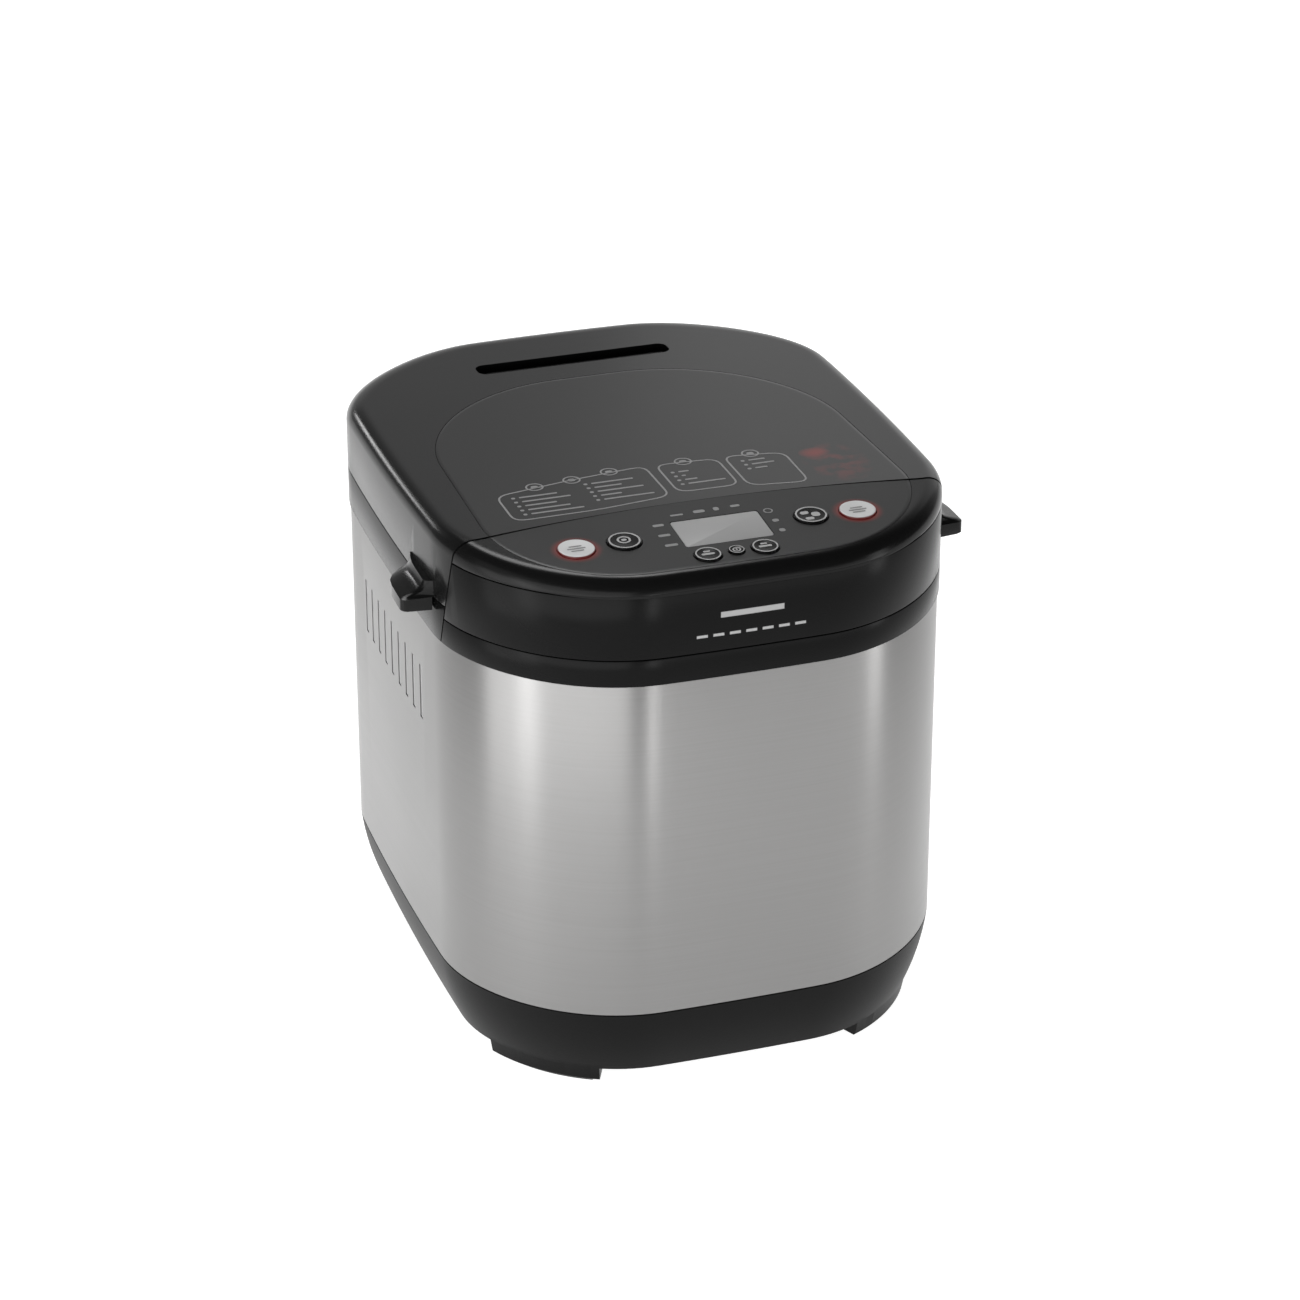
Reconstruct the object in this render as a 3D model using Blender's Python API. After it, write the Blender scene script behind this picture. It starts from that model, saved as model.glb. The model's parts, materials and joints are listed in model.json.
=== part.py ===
"""Bread machine with a stainless steel wrap, a hinged black lid and a fixed control deck.

Metres, +Z up. The origin is on the surface that the machine stands on, under the middle of its
outline. +X is to the right of a cook who faces the controls, and -Y is the front.
"""

from math import atan2, ceil, cos, pi, radians, sin, sqrt, tan

import bmesh
import bpy
from mathutils import Matrix, Vector

for item in list(bpy.data.objects):
    bpy.data.objects.remove(item, do_unlink=True)

MM = 0.001

# Driving sizes of the outside -------------------------------------------------------------------
WIDTH = 245 * MM  # across the plastic rim, without the lid grips
DEPTH = 308 * MM
FRONT_CORNER_R = 79.4 * MM
BACK_CORNER_R = 77.6 * MM
FRONT_BULGE = 4.6 * MM  # how far each face bows out past a straight side
SIDE_BULGE = 5.5 * MM
BACK_BULGE = 7.4 * MM
GROUND_GAP = 8.3 * MM  # floor to the underside of the base tray
BASE_H = 35.8 * MM
STEEL_H = 168.8 * MM
FRONT_RIM_H = 13.1 * MM
SIDE_RIM_H = 19.4 * MM
FASCIA_H = 30.7 * MM
CROWN_Z = GROUND_GAP + BASE_H + STEEL_H + FRONT_RIM_H + FASCIA_H + 11.3 * MM  # at the fold
LID_FALL = 4.4 * MM  # how much lower the lid's top is at the back than at the fold
DECK_FALL = 4.3 * MM  # how much lower the control deck is at the front than at the fold
SHOULDER_R = 8 * MM
BACK_SHOULDER_R = 20 * MM
FOLD_Y = -DEPTH / 2 + 59 * MM  # where the lid meets the control deck, at the top of the sides
FOLD_BOW = 9.5 * MM  # how much further back they meet in the middle of the top
FOLD_SPAN = 105 * MM  # half width of that bow
CREASE_Y = -DEPTH / 2 + 64 * MM  # where the planes of the lid's top and the control deck cross
SEAM_Y = -DEPTH / 2 + 68 * MM  # where their sides part, at the lid's lower edge

# Walls and clearances ---------------------------------------------------------------------------
GAP = 0.3 * MM  # between pieces that touch
PART_GAP = 1.0 * MM  # visible gap between the lid and the control deck
PLASTIC = 2.5 * MM
SHEET = 0.8 * MM
STEEL_INSET = 0.8 * MM  # the steel sits this far inside the plastic rim
BASE_TUCK = 10.7 * MM  # how far the base tapers inwards at its bottom
FLOOR_T = 2.5 * MM
CORNER_STEPS = 8
SIDE_STEPS = 4

# Levels, from the floor up ----------------------------------------------------------------------
BASE_Z = GROUND_GAP
STEEL_Z = BASE_Z + BASE_H
STEEL_TOP = STEEL_Z + STEEL_H
FRONT_SEAM_Z = STEEL_TOP + FRONT_RIM_H
SIDE_SEAM_Z = STEEL_TOP + SIDE_RIM_H
FASCIA_TOP = FRONT_SEAM_Z + FASCIA_H
INNER_DECK_TOP = SIDE_SEAM_Z - 8.3 * MM
INNER_DECK_T = 2.0 * MM

# Baking chamber, pan and drive ------------------------------------------------------------------
DRIVE_Y = 18 * MM  # the drive shaft's axis is at x = 0 and this y
CHAMBER_X = 178 * MM
CHAMBER_Y = 188 * MM
CHAMBER_R = 40 * MM
CHAMBER_T = 1.0 * MM
CHAMBER_Z = 56 * MM
PAN_X = 128 * MM
PAN_Y = 148 * MM
PAN_R = 24 * MM
PAN_H = 121 * MM
PAN_T = 1.6 * MM
PAN_LIP = 3.5 * MM
PAN_STAND = 28 * MM  # chamber floor to the underside of the pan
SHAFT_R = 5 * MM
BORE_GAP = 0.4 * MM
SPINDLE_H = 34 * MM
PADDLE_LEN = 46 * MM
LARGE_PULLEY_R = 48 * MM
SMALL_PULLEY_R = 9.6 * MM
BELT_W = 9 * MM
BELT_T = 2 * MM
PULLEY_Z = 18 * MM
MOTOR_X = -42 * MM
MOTOR_Y = -DEPTH / 2 + 41 * MM
MOTOR_R = 29 * MM
MOTOR_H = 78 * MM
CHASSIS_T = 1.5 * MM

# Controls, in the deck's own plane: x to the right, y measured from the crease ------------------
LCD_W = 41.5 * MM
LCD_D = 24.2 * MM
LCD_X = 2.0 * MM
LCD_Y = -25.0 * MM
BUTTON_PROUD = 0.9 * MM
BUTTON_TRAVEL = 1.2 * MM
BUTTONS = {  # name: (x, y, radius)
    "start_stop_button": (66.5 * MM, -25.9 * MM, 8.5 * MM),
    "program_button": (-66.5 * MM, -25.9 * MM, 8.5 * MM),
    "crust_button": (-43.8 * MM, -24.8 * MM, 8.0 * MM),
    "weight_button": (44.5 * MM, -24.8 * MM, 8.0 * MM),
    "timer_minus_button": (-12.0 * MM, -46.8 * MM, 6.4 * MM),
    "clock_button": (1.5 * MM, -46.4 * MM, 3.8 * MM),
    "timer_plus_button": (14.8 * MM, -46.8 * MM, 6.4 * MM),
}
INLAY_T = 0.8 * MM
INLAY_X = 101 * MM  # half width of the glossy inlay on the lid and the deck
INLAY_BACK_Y = DEPTH / 2 - 80 * MM
INLAY_FRONT_MARGIN = 10.5 * MM

# Lid --------------------------------------------------------------------------------------------
HINGE_SETBACK = 3.5 * MM  # back face to the hinge's axis
BARREL_R = 3.2 * MM
PIN_R = 1.5 * MM
PIN_GAP = 0.35 * MM
LID_EAR = (28 * MM, 42 * MM)  # from and to, on each side of the middle
BRACKET_EAR = (42.5 * MM, 52 * MM)
HINGE_NOTCH_HALF = 74 * MM
SLOT_W = 98 * MM
SLOT_D = 12.5 * MM
SLOT_Y = DEPTH / 2 - 53.5 * MM
GRIP_OUT = 14 * MM
GRIP_REAR_Y = SEAM_Y + 49 * MM
GRIP_FRONT_Y = SEAM_Y + 11 * MM
GRIP_T = 7 * MM
VENT_COUNT = 9
VENT_PITCH = 12.0 * MM
VENT_W = 3.8 * MM
VENT_H = 27.3 * MM
VENT_MID_Y = -0.5 * MM
VENT_MID_Z = 172.6 * MM

LID_SLOPE = LID_FALL / (DEPTH / 2 - CREASE_Y)
DECK_SLOPE = DECK_FALL / (DEPTH / 2 + CREASE_Y)
HINGE_Y = DEPTH / 2 - HINGE_SETBACK
HINGE_Z = SIDE_SEAM_Z + 1.2 * MM
SPLIT_SLOPE = (SEAM_Y - FOLD_Y) / (CROWN_Z - SIDE_SEAM_Z)


# Materials --------------------------------------------------------------------------------------
def material(name, colour, roughness, metallic=0.0):
    made = bpy.data.materials.new(name)
    made.use_nodes = True
    shader = made.node_tree.nodes["Principled BSDF"]
    shader.inputs["Base Color"].default_value = (*colour, 1)
    shader.inputs["Roughness"].default_value = roughness
    shader.inputs["Metallic"].default_value = metallic
    return made


BLACK_GLOSS = material("black_gloss", (0.022, 0.022, 0.023), 0.25)
BLACK_SATIN = material("black_satin", (0.03, 0.03, 0.032), 0.45)
STEEL = material("brushed_steel", (0.62, 0.62, 0.61), 0.32, 1.0)
GALVANISED = material("galvanised_sheet", (0.5, 0.5, 0.5), 0.45, 1.0)
ALUMINIUM = material("cast_aluminium", (0.6, 0.6, 0.6), 0.4, 1.0)
NON_STICK = material("non_stick_grey", (0.09, 0.09, 0.095), 0.4)
RUBBER = material("black_rubber", (0.02, 0.02, 0.02), 0.8)
SILVER = material("silver_plastic", (0.75, 0.75, 0.75), 0.3)
GREY = material("grey_plastic", (0.3, 0.3, 0.31), 0.5)
LCD_GLASS = material("lcd_glass", (0.42, 0.43, 0.42), 0.15)
BOARD = material("board_green", (0.04, 0.16, 0.07), 0.5)
BRASS = material("bronze_bush", (0.6, 0.42, 0.16), 0.4, 1.0)


# Outlines ---------------------------------------------------------------------------------------
def arc(x, y, radius, start, end, steps):
    turns = [start + (end - start) * i / steps for i in range(steps + 1)]
    return [Vector((x + radius * cos(t), y + radius * sin(t))) for t in turns]


def straight(start, end, steps):
    """The points between start and end, without either."""
    return [start.lerp(end, i / steps) for i in range(1, steps)]


def rounded_box(half_x, y_low, y_high, front_r, back_r, corner_steps=CORNER_STEPS, side_steps=1):
    """A rounded rectangle, counter-clockwise from the front right corner."""
    corners = [
        arc(half_x - front_r, y_low + front_r, front_r, -pi / 2, 0, corner_steps),
        arc(half_x - back_r, y_high - back_r, back_r, 0, pi / 2, corner_steps),
        arc(-half_x + back_r, y_high - back_r, back_r, pi / 2, pi, corner_steps),
        arc(-half_x + front_r, y_low + front_r, front_r, pi, 1.5 * pi, corner_steps),
    ]
    points = []
    for corner, following in zip(corners, corners[1:] + corners[:1]):
        points += corner + straight(corner[-1], following[0], side_steps)
    return points


def inset(points, distance):
    """The outline moved inwards by distance, square to itself."""
    moved = []
    for before, here, after in zip(points[-1:] + points[:-1], points, points[1:] + points[:1]):
        along = (after - before).normalized()
        moved.append(here + Vector((-along.y, along.x)) * distance)
    return moved


def body_outline(distance=0.0):
    """The machine's outline from above: a rounded box whose four sides bow outwards."""
    half_x = WIDTH / 2 - SIDE_BULGE
    y_low = -DEPTH / 2 + FRONT_BULGE
    y_high = DEPTH / 2 - BACK_BULGE
    middle = (y_low + y_high) / 2
    half_y = (y_high - y_low) / 2
    box = rounded_box(
        half_x, y_low, y_high, FRONT_CORNER_R, BACK_CORNER_R, CORNER_STEPS, SIDE_STEPS
    )
    points = []
    for point in box:
        across = point.x / half_x
        along = (point.y - middle) / half_y
        bow = BACK_BULGE * max(along, 0) + FRONT_BULGE * min(along, 0)
        x = point.x + SIDE_BULGE * (1 - along**2) * across
        y = point.y + bow * (1 - across**2)
        points.append(Vector((x, y)))
    return inset(points, distance)


def circle(x, y, radius, steps=24):
    return arc(x, y, radius, 0, 2 * pi * (steps - 1) / steps, steps - 1)


def lid_top_z(y):
    return CROWN_Z - LID_SLOPE * (y - CREASE_Y)


def deck_top_z(y):
    return CROWN_Z - DECK_SLOPE * (CREASE_Y - y)


# Solids -----------------------------------------------------------------------------------------
def at_level(points, z):
    return [Vector((p.x, p.y, z)) for p in points]


def loft(rings, capped=True):
    """A closed mesh through rings of equal length. Without caps the last ring meets the first."""
    mesh = bmesh.new()
    rows = [[mesh.verts.new(point) for point in ring] for ring in rings]
    pairs = list(zip(rows, rows[1:])) if capped else list(zip(rows, rows[1:] + rows[:1]))
    for low, high in pairs:
        for i, corner in enumerate(low):
            j = (i + 1) % len(low)
            mesh.faces.new((corner, low[j], high[j], high[i]))
    if capped:
        mesh.faces.new(list(reversed(rows[0])))
        mesh.faces.new(rows[-1])
    return mesh


def prism(points, z_low, z_high):
    return loft([at_level(points, z_low), at_level(points, z_high)])


def tube(outer, inner, z_low, z_high):
    rings = [at_level(outer, z_low), at_level(outer, z_high)]
    rings += [at_level(inner, z_high), at_level(inner, z_low)]
    return loft(rings, capped=False)


def tub(outer, inner, z_low, z_floor, z_high):
    rings = [at_level(outer, z_low), at_level(outer, z_high)]
    return loft(rings + [at_level(inner, z_high), at_level(inner, z_floor)])


def turned(profile, x=0.0, y=0.0, steps=24):
    """A solid of revolution: profile is (radius, z) from the bottom of the axis to its top."""
    return loft([at_level(circle(x, y, radius, steps), z) for radius, z in profile])


def turned_ring(profile, x=0.0, y=0.0, steps=24):
    """A ring: profile is a closed (radius, z) loop that goes up its outer side."""
    rings = [at_level(circle(x, y, radius, steps), z) for radius, z in profile]
    return loft(rings, capped=False)


def block(low, high):
    points = [(low[0], low[1]), (high[0], low[1]), (high[0], high[1]), (low[0], high[1])]
    return prism([Vector(p) for p in points], low[2], high[2])


def place(name, mesh, finish, smooth=True, parent=None, frame=None):
    """Makes an object from a bmesh, with its faces pointing outwards."""
    bmesh.ops.recalc_face_normals(mesh, faces=mesh.faces[:])
    data = bpy.data.meshes.new(name)
    mesh.to_mesh(data)
    mesh.free()
    if smooth:
        data.shade_smooth()
        data.set_sharp_from_angle(angle=radians(35))
    data.materials.append(finish)
    made = bpy.data.objects.new(name, data)
    bpy.context.scene.collection.objects.link(made)
    if frame is not None:
        made.matrix_world = frame
    if parent is not None:
        made.parent = parent
        made.matrix_parent_inverse = parent.matrix_world.inverted()
    return made


def cutter(name, mesh, frame=None):
    made = place(name, mesh, GREY, smooth=False, frame=frame)
    made.hide_render = True
    made.display_type = "WIRE"
    return made


def boolean(target, tool, operation="DIFFERENCE", solver="EXACT"):
    step = target.modifiers.new(tool.name, "BOOLEAN")
    step.operation = operation
    step.object = tool
    step.solver = solver


def pivot(name, x, y, z):
    """An empty on a moving piece's axis."""
    made = bpy.data.objects.new(name, None)
    made.location = (x, y, z)
    made.empty_display_size = 10 * MM
    bpy.context.scene.collection.objects.link(made)
    bpy.context.view_layer.update()
    return made


def joined(*meshes):
    """Several bmeshes in one, for a cutter of many separate shapes."""
    whole = bmesh.new()
    for mesh in meshes:
        data = bpy.data.meshes.new("piece")
        bmesh.ops.recalc_face_normals(mesh, faces=mesh.faces[:])
        mesh.to_mesh(data)
        mesh.free()
        whole.from_mesh(data)
        bpy.data.meshes.remove(data)
    return whole


# The split between the lid and the fixed front --------------------------------------------------
def split_y(z):
    return SEAM_Y - SPLIT_SLOPE * (z - SIDE_SEAM_Z)


SPLIT_STATIONS = 20


def split_line(x, far, shift):
    """The split's section at x, closed round the side that far is on."""
    low, high = STEEL_TOP - 20 * MM, CROWN_Z + 20 * MM
    bow = FOLD_BOW * (1 - min(abs(x) / FOLD_SPAN, 1) ** 2)
    bent = [(low, 0), (SIDE_SEAM_Z, 0), (CROWN_Z, bow), (high, bow)]
    line = [(split_y(z) + shift + back, z) for z, back in bent]
    return line + [(far, high), (far, low)]


def split_half(name, side, shift):
    """A big block on one side of the split. side is -1 for the front, 1 for the back."""
    xs = [WIDTH * (2 * i / SPLIT_STATIONS - 1) / 2 * 1.2 for i in range(SPLIT_STATIONS + 1)]
    rings = []
    for x in xs:
        rings.append([Vector((x, y, z)) for y, z in split_line(x, side * DEPTH, shift)])
    return cutter(name, loft(rings))


cut_front = split_half("cut_front", -1, PART_GAP / 2)
cut_back = split_half("cut_back", 1, -PART_GAP / 2)
cut_front_inside = split_half("cut_front_inside", -1, PART_GAP / 2 + PLASTIC)


# Base, feet and steel wrap ----------------------------------------------------------------------
def base_inset(z):
    """The base's taper: a quarter wave from the steel's lower edge to the underside."""
    down = (STEEL_Z - z) / BASE_H
    return STEEL_INSET + (BASE_TUCK - STEEL_INSET) * (0.35 * down + 0.65 * down**2)


BASE_RINGS = 5
FOOT_WIDTH = 15 * MM
FOOT_PAD_T = 2 * MM
FOOT_FIRST, FOOT_LAST = 2, 6  # corner facets that a foot covers
POINTS_PER_CORNER = CORNER_STEPS + SIDE_STEPS


def base_tray():
    levels = [BASE_Z + (BASE_H - GAP) * i / (BASE_RINGS - 1) for i in range(BASE_RINGS)]
    outer = [at_level(body_outline(base_inset(z)), z) for z in levels]
    inner = [at_level(body_outline(base_inset(z) + PLASTIC), z) for z in reversed(levels[1:])]
    floor_z = BASE_Z + FLOOR_T
    inner.append(at_level(body_outline(base_inset(floor_z) + PLASTIC), floor_z))
    under = at_level(body_outline(BASE_TUCK + FOOT_WIDTH), BASE_Z)
    mesh = loft([under] + outer + inner)
    mesh.faces.ensure_lookup_table()
    feet = []
    for corner in range(4):
        first = corner * POINTS_PER_CORNER
        feet.append([mesh.faces[first + i] for i in range(FOOT_FIRST, FOOT_LAST)])
    for faces in feet:
        grown = bmesh.ops.extrude_face_region(mesh, geom=faces)["geom"]
        lowered = [v for v in grown if isinstance(v, bmesh.types.BMVert)]
        bmesh.ops.delete(mesh, geom=faces, context="FACES")
        middle = sum((v.co for v in lowered), Vector()) / len(lowered)
        for corner_vert in lowered:
            corner_vert.co += (middle - corner_vert.co) * 0.04
            corner_vert.co.z = FOOT_PAD_T + GAP
    return mesh


def foot_pad(corner):
    """A rubber pad under one foot, following its curve."""
    first = corner * POINTS_PER_CORNER + FOOT_FIRST
    picked = range(first, first + FOOT_LAST - FOOT_FIRST + 1)
    outer = body_outline(BASE_TUCK + 3 * MM)
    inner = body_outline(BASE_TUCK + FOOT_WIDTH - 3 * MM)
    strip = [outer[i] for i in picked] + [inner[i] for i in reversed(picked)]
    middle = sum(strip, Vector((0, 0))) / len(strip)
    strip = [p + (middle - p) * 0.12 for p in strip]
    return prism(strip, 0, FOOT_PAD_T)


tray = place("base_tray", base_tray(), BLACK_SATIN)
for number, corner in enumerate(("front_right", "back_right", "back_left", "front_left")):
    place(f"foot_pad_{corner}", foot_pad(number), RUBBER)

GLAND_X = 62 * MM
GLAND_R = 7 * MM
GLAND_Z = BASE_Z + 17 * MM


def back_y_at(x, distance):
    """y of the outline's back at x, moved in by distance."""
    line = [p for p in body_outline(distance) if p.y > 0]
    line.sort(key=lambda p: p.x)
    for left, right in zip(line, line[1:]):
        if left.x <= x <= right.x:
            return left.lerp(right, (x - left.x) / (right.x - left.x)).y
    raise ValueError("x is outside the outline")


def along_y(mesh, x, y, z):
    """Turns a solid built along +Z so that it lies along +Y, and moves it to x, y, z."""
    mesh.transform(Matrix.Translation((x, y, z)) @ Matrix.Rotation(-pi / 2, 4, "X"))
    return mesh


def along_x(mesh, x, y, z):
    mesh.transform(Matrix.Translation((x, y, z)) @ Matrix.Rotation(pi / 2, 4, "Y"))
    return mesh


gland_wall_y = back_y_at(GLAND_X, base_inset(GLAND_Z))
gland_hole = along_y(turned([(GLAND_R, -14 * MM), (GLAND_R, 14 * MM)]), GLAND_X, gland_wall_y, GLAND_Z)
boolean(tray, cutter("cut_gland", gland_hole))
GLAND_NECK_R = GLAND_R - GAP
gland = turned(
    [
        (GLAND_R + 1.5 * MM, -13 * MM),
        (GLAND_R + 1.5 * MM, -10 * MM),
        (GLAND_NECK_R, -10 * MM),
        (GLAND_NECK_R, 2.5 * MM),
        (4.6 * MM, 5 * MM),
        (3.6 * MM, 5 * MM),
        (3.4 * MM, 3.2 * MM),
    ]
)
place("cord_gland", along_y(gland, GLAND_X, gland_wall_y, GLAND_Z), RUBBER)

wrap = place(
    "steel_wrap",
    tube(
        body_outline(STEEL_INSET),
        body_outline(STEEL_INSET + SHEET),
        STEEL_Z,
        STEEL_TOP - GAP,
    ),
    STEEL,
)


def vent_slots():
    slots = []
    for i in range(VENT_COUNT):
        y = VENT_MID_Y + VENT_PITCH * (i - (VENT_COUNT - 1) / 2)
        for side in (-1, 1):
            near, far = sorted((side * WIDTH * 0.4, side * WIDTH * 0.6))
            low = (near, y - VENT_W / 2, VENT_MID_Z - VENT_H / 2)
            slots.append(block(low, (far, y + VENT_W / 2, VENT_MID_Z + VENT_H / 2)))
    return joined(*slots)


boolean(wrap, cutter("cut_vents", vent_slots()))

BAFFLE_Y = VENT_PITCH * VENT_COUNT / 2 + 2 * MM
for side, name in ((-1, "vent_baffle_left"), (1, "vent_baffle_right")):
    x = side * (WIDTH / 2 - STEEL_INSET - SHEET - 7 * MM)
    near, far = sorted((x, x + side * 1.5 * MM))
    low = (near, VENT_MID_Y - BAFFLE_Y, VENT_MID_Z - VENT_H / 2 - 6 * MM)
    high = (far, VENT_MID_Y + BAFFLE_Y, VENT_MID_Z + VENT_H / 2 + 6 * MM)
    place(name, block(low, high), GREY, smooth=False)

# Rims and front ---------------------------------------------------------------------------------
side_rim = place(
    "side_rim",
    tube(body_outline(), body_outline(PLASTIC), STEEL_TOP, SIDE_SEAM_Z),
    BLACK_GLOSS,
)
boolean(side_rim, cut_front)
NOTCH_Z = SIDE_SEAM_Z - 4.8 * MM
notch = block(
    (-HINGE_NOTCH_HALF, DEPTH / 2 - 30 * MM, NOTCH_Z),
    (HINGE_NOTCH_HALF, DEPTH / 2 + 5 * MM, SIDE_SEAM_Z + 5 * MM),
)
boolean(side_rim, cutter("cut_hinge_notch", notch))

front_rim = place(
    "front_rim",
    tube(body_outline(), body_outline(PLASTIC), STEEL_TOP, FRONT_SEAM_Z - GAP),
    BLACK_GLOSS,
)
boolean(front_rim, cut_back)

fascia = place(
    "front_fascia",
    tube(body_outline(), body_outline(PLASTIC), FRONT_SEAM_Z, FASCIA_TOP - GAP),
    BLACK_GLOSS,
)
boolean(fascia, cut_back)


def shoulder_radius(y):
    """The top edge's radius: tight at the front and the sides, soft at the back."""
    share = min(max((y - DEPTH * 0.2) / (DEPTH * 0.3), 0), 1)
    share = share * share * (3 - 2 * share)
    return SHOULDER_R + (BACK_SHOULDER_R - SHOULDER_R) * share


SHOULDER_STEPS = 5


def dome(top_z, z_low, wall=0.0):
    """The closed solid under a top surface with a rounded shoulder, shrunk by wall all round."""
    rim = body_outline(wall)
    inwards = [b - a for a, b in zip(body_outline(wall), body_outline(wall + 1 * MM))]
    inwards = [step.normalized() for step in inwards]
    rings = [at_level(rim, z_low)]
    for step in range(SHOULDER_STEPS + 1):
        turn = pi / 2 * step / SHOULDER_STEPS
        ring = []
        for point, inward in zip(rim, inwards):
            radius = shoulder_radius(point.y) - wall
            moved = point + inward * radius * (1 - cos(turn))
            z = top_z(moved.y) - wall - radius * (1 - sin(turn))
            ring.append(Vector((moved.x, moved.y, z)))
        rings.append(ring)
    return loft(rings)


# The control deck's plane, and the lid's top plane, as frames with their origin on the crease
deck_tilt = atan2(DECK_SLOPE, 1)
lid_tilt = -atan2(LID_SLOPE, 1)
deck_frame = Matrix.Translation((0, CREASE_Y, CROWN_Z)) @ Matrix.Rotation(deck_tilt, 4, "X")
lid_frame = Matrix.Translation((0, CREASE_Y, CROWN_Z)) @ Matrix.Rotation(lid_tilt, 4, "X")

deck = place("control_deck", dome(deck_top_z, FASCIA_TOP), BLACK_GLOSS)
boolean(deck, cut_back)
deck_inside = cutter("cut_deck_inside", dome(deck_top_z, FASCIA_TOP - 5 * MM, PLASTIC))
cut_back_inside = split_half("cut_back_inside", 1, -PART_GAP / 2 - PLASTIC)
boolean(deck_inside, cut_back_inside)
boolean(deck, deck_inside)


def inlay_outline(distance):
    """The glossy inlay that runs over the lid and on to the deck, measured from the crease."""
    back = INLAY_BACK_Y - CREASE_Y
    front = CREASE_Y + DEPTH / 2 - INLAY_FRONT_MARGIN
    back_r = 84 * MM
    front_r = 60 * MM
    points = rounded_box(INLAY_X, -front, back, front_r, back_r, 10, 4)
    for point in points:
        share = max(point.y, 0) / back
        point.x *= 1 - 0.05 * share
        point.y += 3 * MM * (1 - (point.x / INLAY_X) ** 2) * (1 if point.y > 0 else -1)
    return inset(points, distance)


OVER = 20 * MM


def button_circle(name, extra, steps=24):
    x, y, radius = BUTTONS[name]
    return circle(x, y, radius + extra, steps)


def lcd_outline(extra):
    half_d = LCD_D / 2 + extra
    corner = 1.5 * MM
    box = rounded_box(LCD_W / 2 + extra, LCD_Y - half_d, LCD_Y + half_d, corner, corner, 3)
    return [Vector((p.x + LCD_X, p.y)) for p in box]


deck_recess = prism(inlay_outline(0), -INLAY_T - GAP, OVER)
boolean(deck, cutter("cut_deck_recess", deck_recess, deck_frame))
overlay = place(
    "control_overlay",
    prism(inlay_outline(GAP), -INLAY_T, 0),
    BLACK_GLOSS,
    frame=deck_frame,
)
boolean(overlay, cut_back)
BUTTON_GAP = 0.35 * MM
holes = [prism(button_circle(name, BUTTON_GAP), -OVER / 2, OVER / 2) for name in BUTTONS]
holes.append(prism(lcd_outline(GAP), -OVER / 2, OVER / 2))
control_holes = cutter("cut_controls", joined(*holes), deck_frame)
boolean(deck, control_holes)
boolean(overlay, control_holes)

LCD_T = 1.6 * MM
place("lcd_window", prism(lcd_outline(0), -LCD_T, 0), LCD_GLASS, frame=deck_frame)
lcd_cell = prism(
    lcd_outline(-1.5 * MM), -PLASTIC - 4 * MM, -PLASTIC - INLAY_T - GAP
)
place("lcd_module", lcd_cell, GREY, smooth=False, frame=deck_frame)

BOARD_TOP = -PLASTIC - 5 * MM
BOARD_T = 1.6 * MM
BOARD_HALF = 66 * MM
BOARD_FRONT, BOARD_BACK = -47 * MM, -12 * MM
board = block((-BOARD_HALF, BOARD_FRONT, BOARD_TOP - BOARD_T), (BOARD_HALF, BOARD_BACK, BOARD_TOP))
place("control_board", board, BOARD, smooth=False, frame=deck_frame)


def button_solid(x, y, radius):
    """A cap with a rounded edge, its stem through the deck and a flange that stops it coming out."""
    flange_z = -PLASTIC - INLAY_T - BUTTON_TRAVEL
    profile = [
        (radius * 0.5, flange_z - 0.8 * MM),
        (radius + 1.0 * MM, flange_z - 0.8 * MM),
        (radius + 1.0 * MM, flange_z + BUTTON_TRAVEL - GAP),
        (radius, flange_z + BUTTON_TRAVEL - GAP),
        (radius, BUTTON_PROUD - 0.5 * MM),
        (radius - 0.5 * MM, BUTTON_PROUD - 0.1 * MM),
        (radius * 0.6, BUTTON_PROUD),
    ]
    return turned(profile, steps=24)


for name, (x, y, radius) in BUTTONS.items():
    finish = SILVER if name in ("start_stop_button", "program_button") else BLACK_GLOSS
    seat = pivot(f"{name}_axis", *(deck_frame @ Vector((x, y, 0))))
    cap_frame = deck_frame @ Matrix.Translation((x, y, 0))
    place(name, button_solid(x, y, radius), finish, parent=seat, frame=cap_frame)

# Wall between the control bay and the baking chamber's mouth
bay_wall = place("control_bay_wall", dome(deck_top_z, INNER_DECK_TOP + GAP, PLASTIC + GAP), BLACK_SATIN)
boolean(bay_wall, split_half("cut_bay_back", 1, -PART_GAP / 2 - PLASTIC - 1 * MM))
boolean(bay_wall, split_half("cut_bay_front", -1, -PART_GAP / 2 - PLASTIC - 3 * MM))

# Inner deck around the chamber's mouth ----------------------------------------------------------
def chamber_outline(distance):
    return inset(
        rounded_box(
            CHAMBER_X / 2, DRIVE_Y - CHAMBER_Y / 2, DRIVE_Y + CHAMBER_Y / 2, CHAMBER_R, CHAMBER_R, 6
        ),
        distance,
    )


inner_deck = place(
    "inner_deck",
    prism(body_outline(PLASTIC + GAP), INNER_DECK_TOP - INNER_DECK_T, INNER_DECK_TOP),
    BLACK_SATIN,
)
boolean(inner_deck, split_half("cut_inner_deck", -1, PART_GAP + 3 * MM))
mouth = prism(chamber_outline(-GAP), INNER_DECK_TOP - 10 * MM, INNER_DECK_TOP + 10 * MM)
boolean(inner_deck, cutter("cut_mouth", mouth))

CHAMBER_TOP = INNER_DECK_TOP
CHAMBER_FLANGE = 6 * MM
CHAMBER_FLANGE_Z = INNER_DECK_TOP - INNER_DECK_T - GAP


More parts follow.
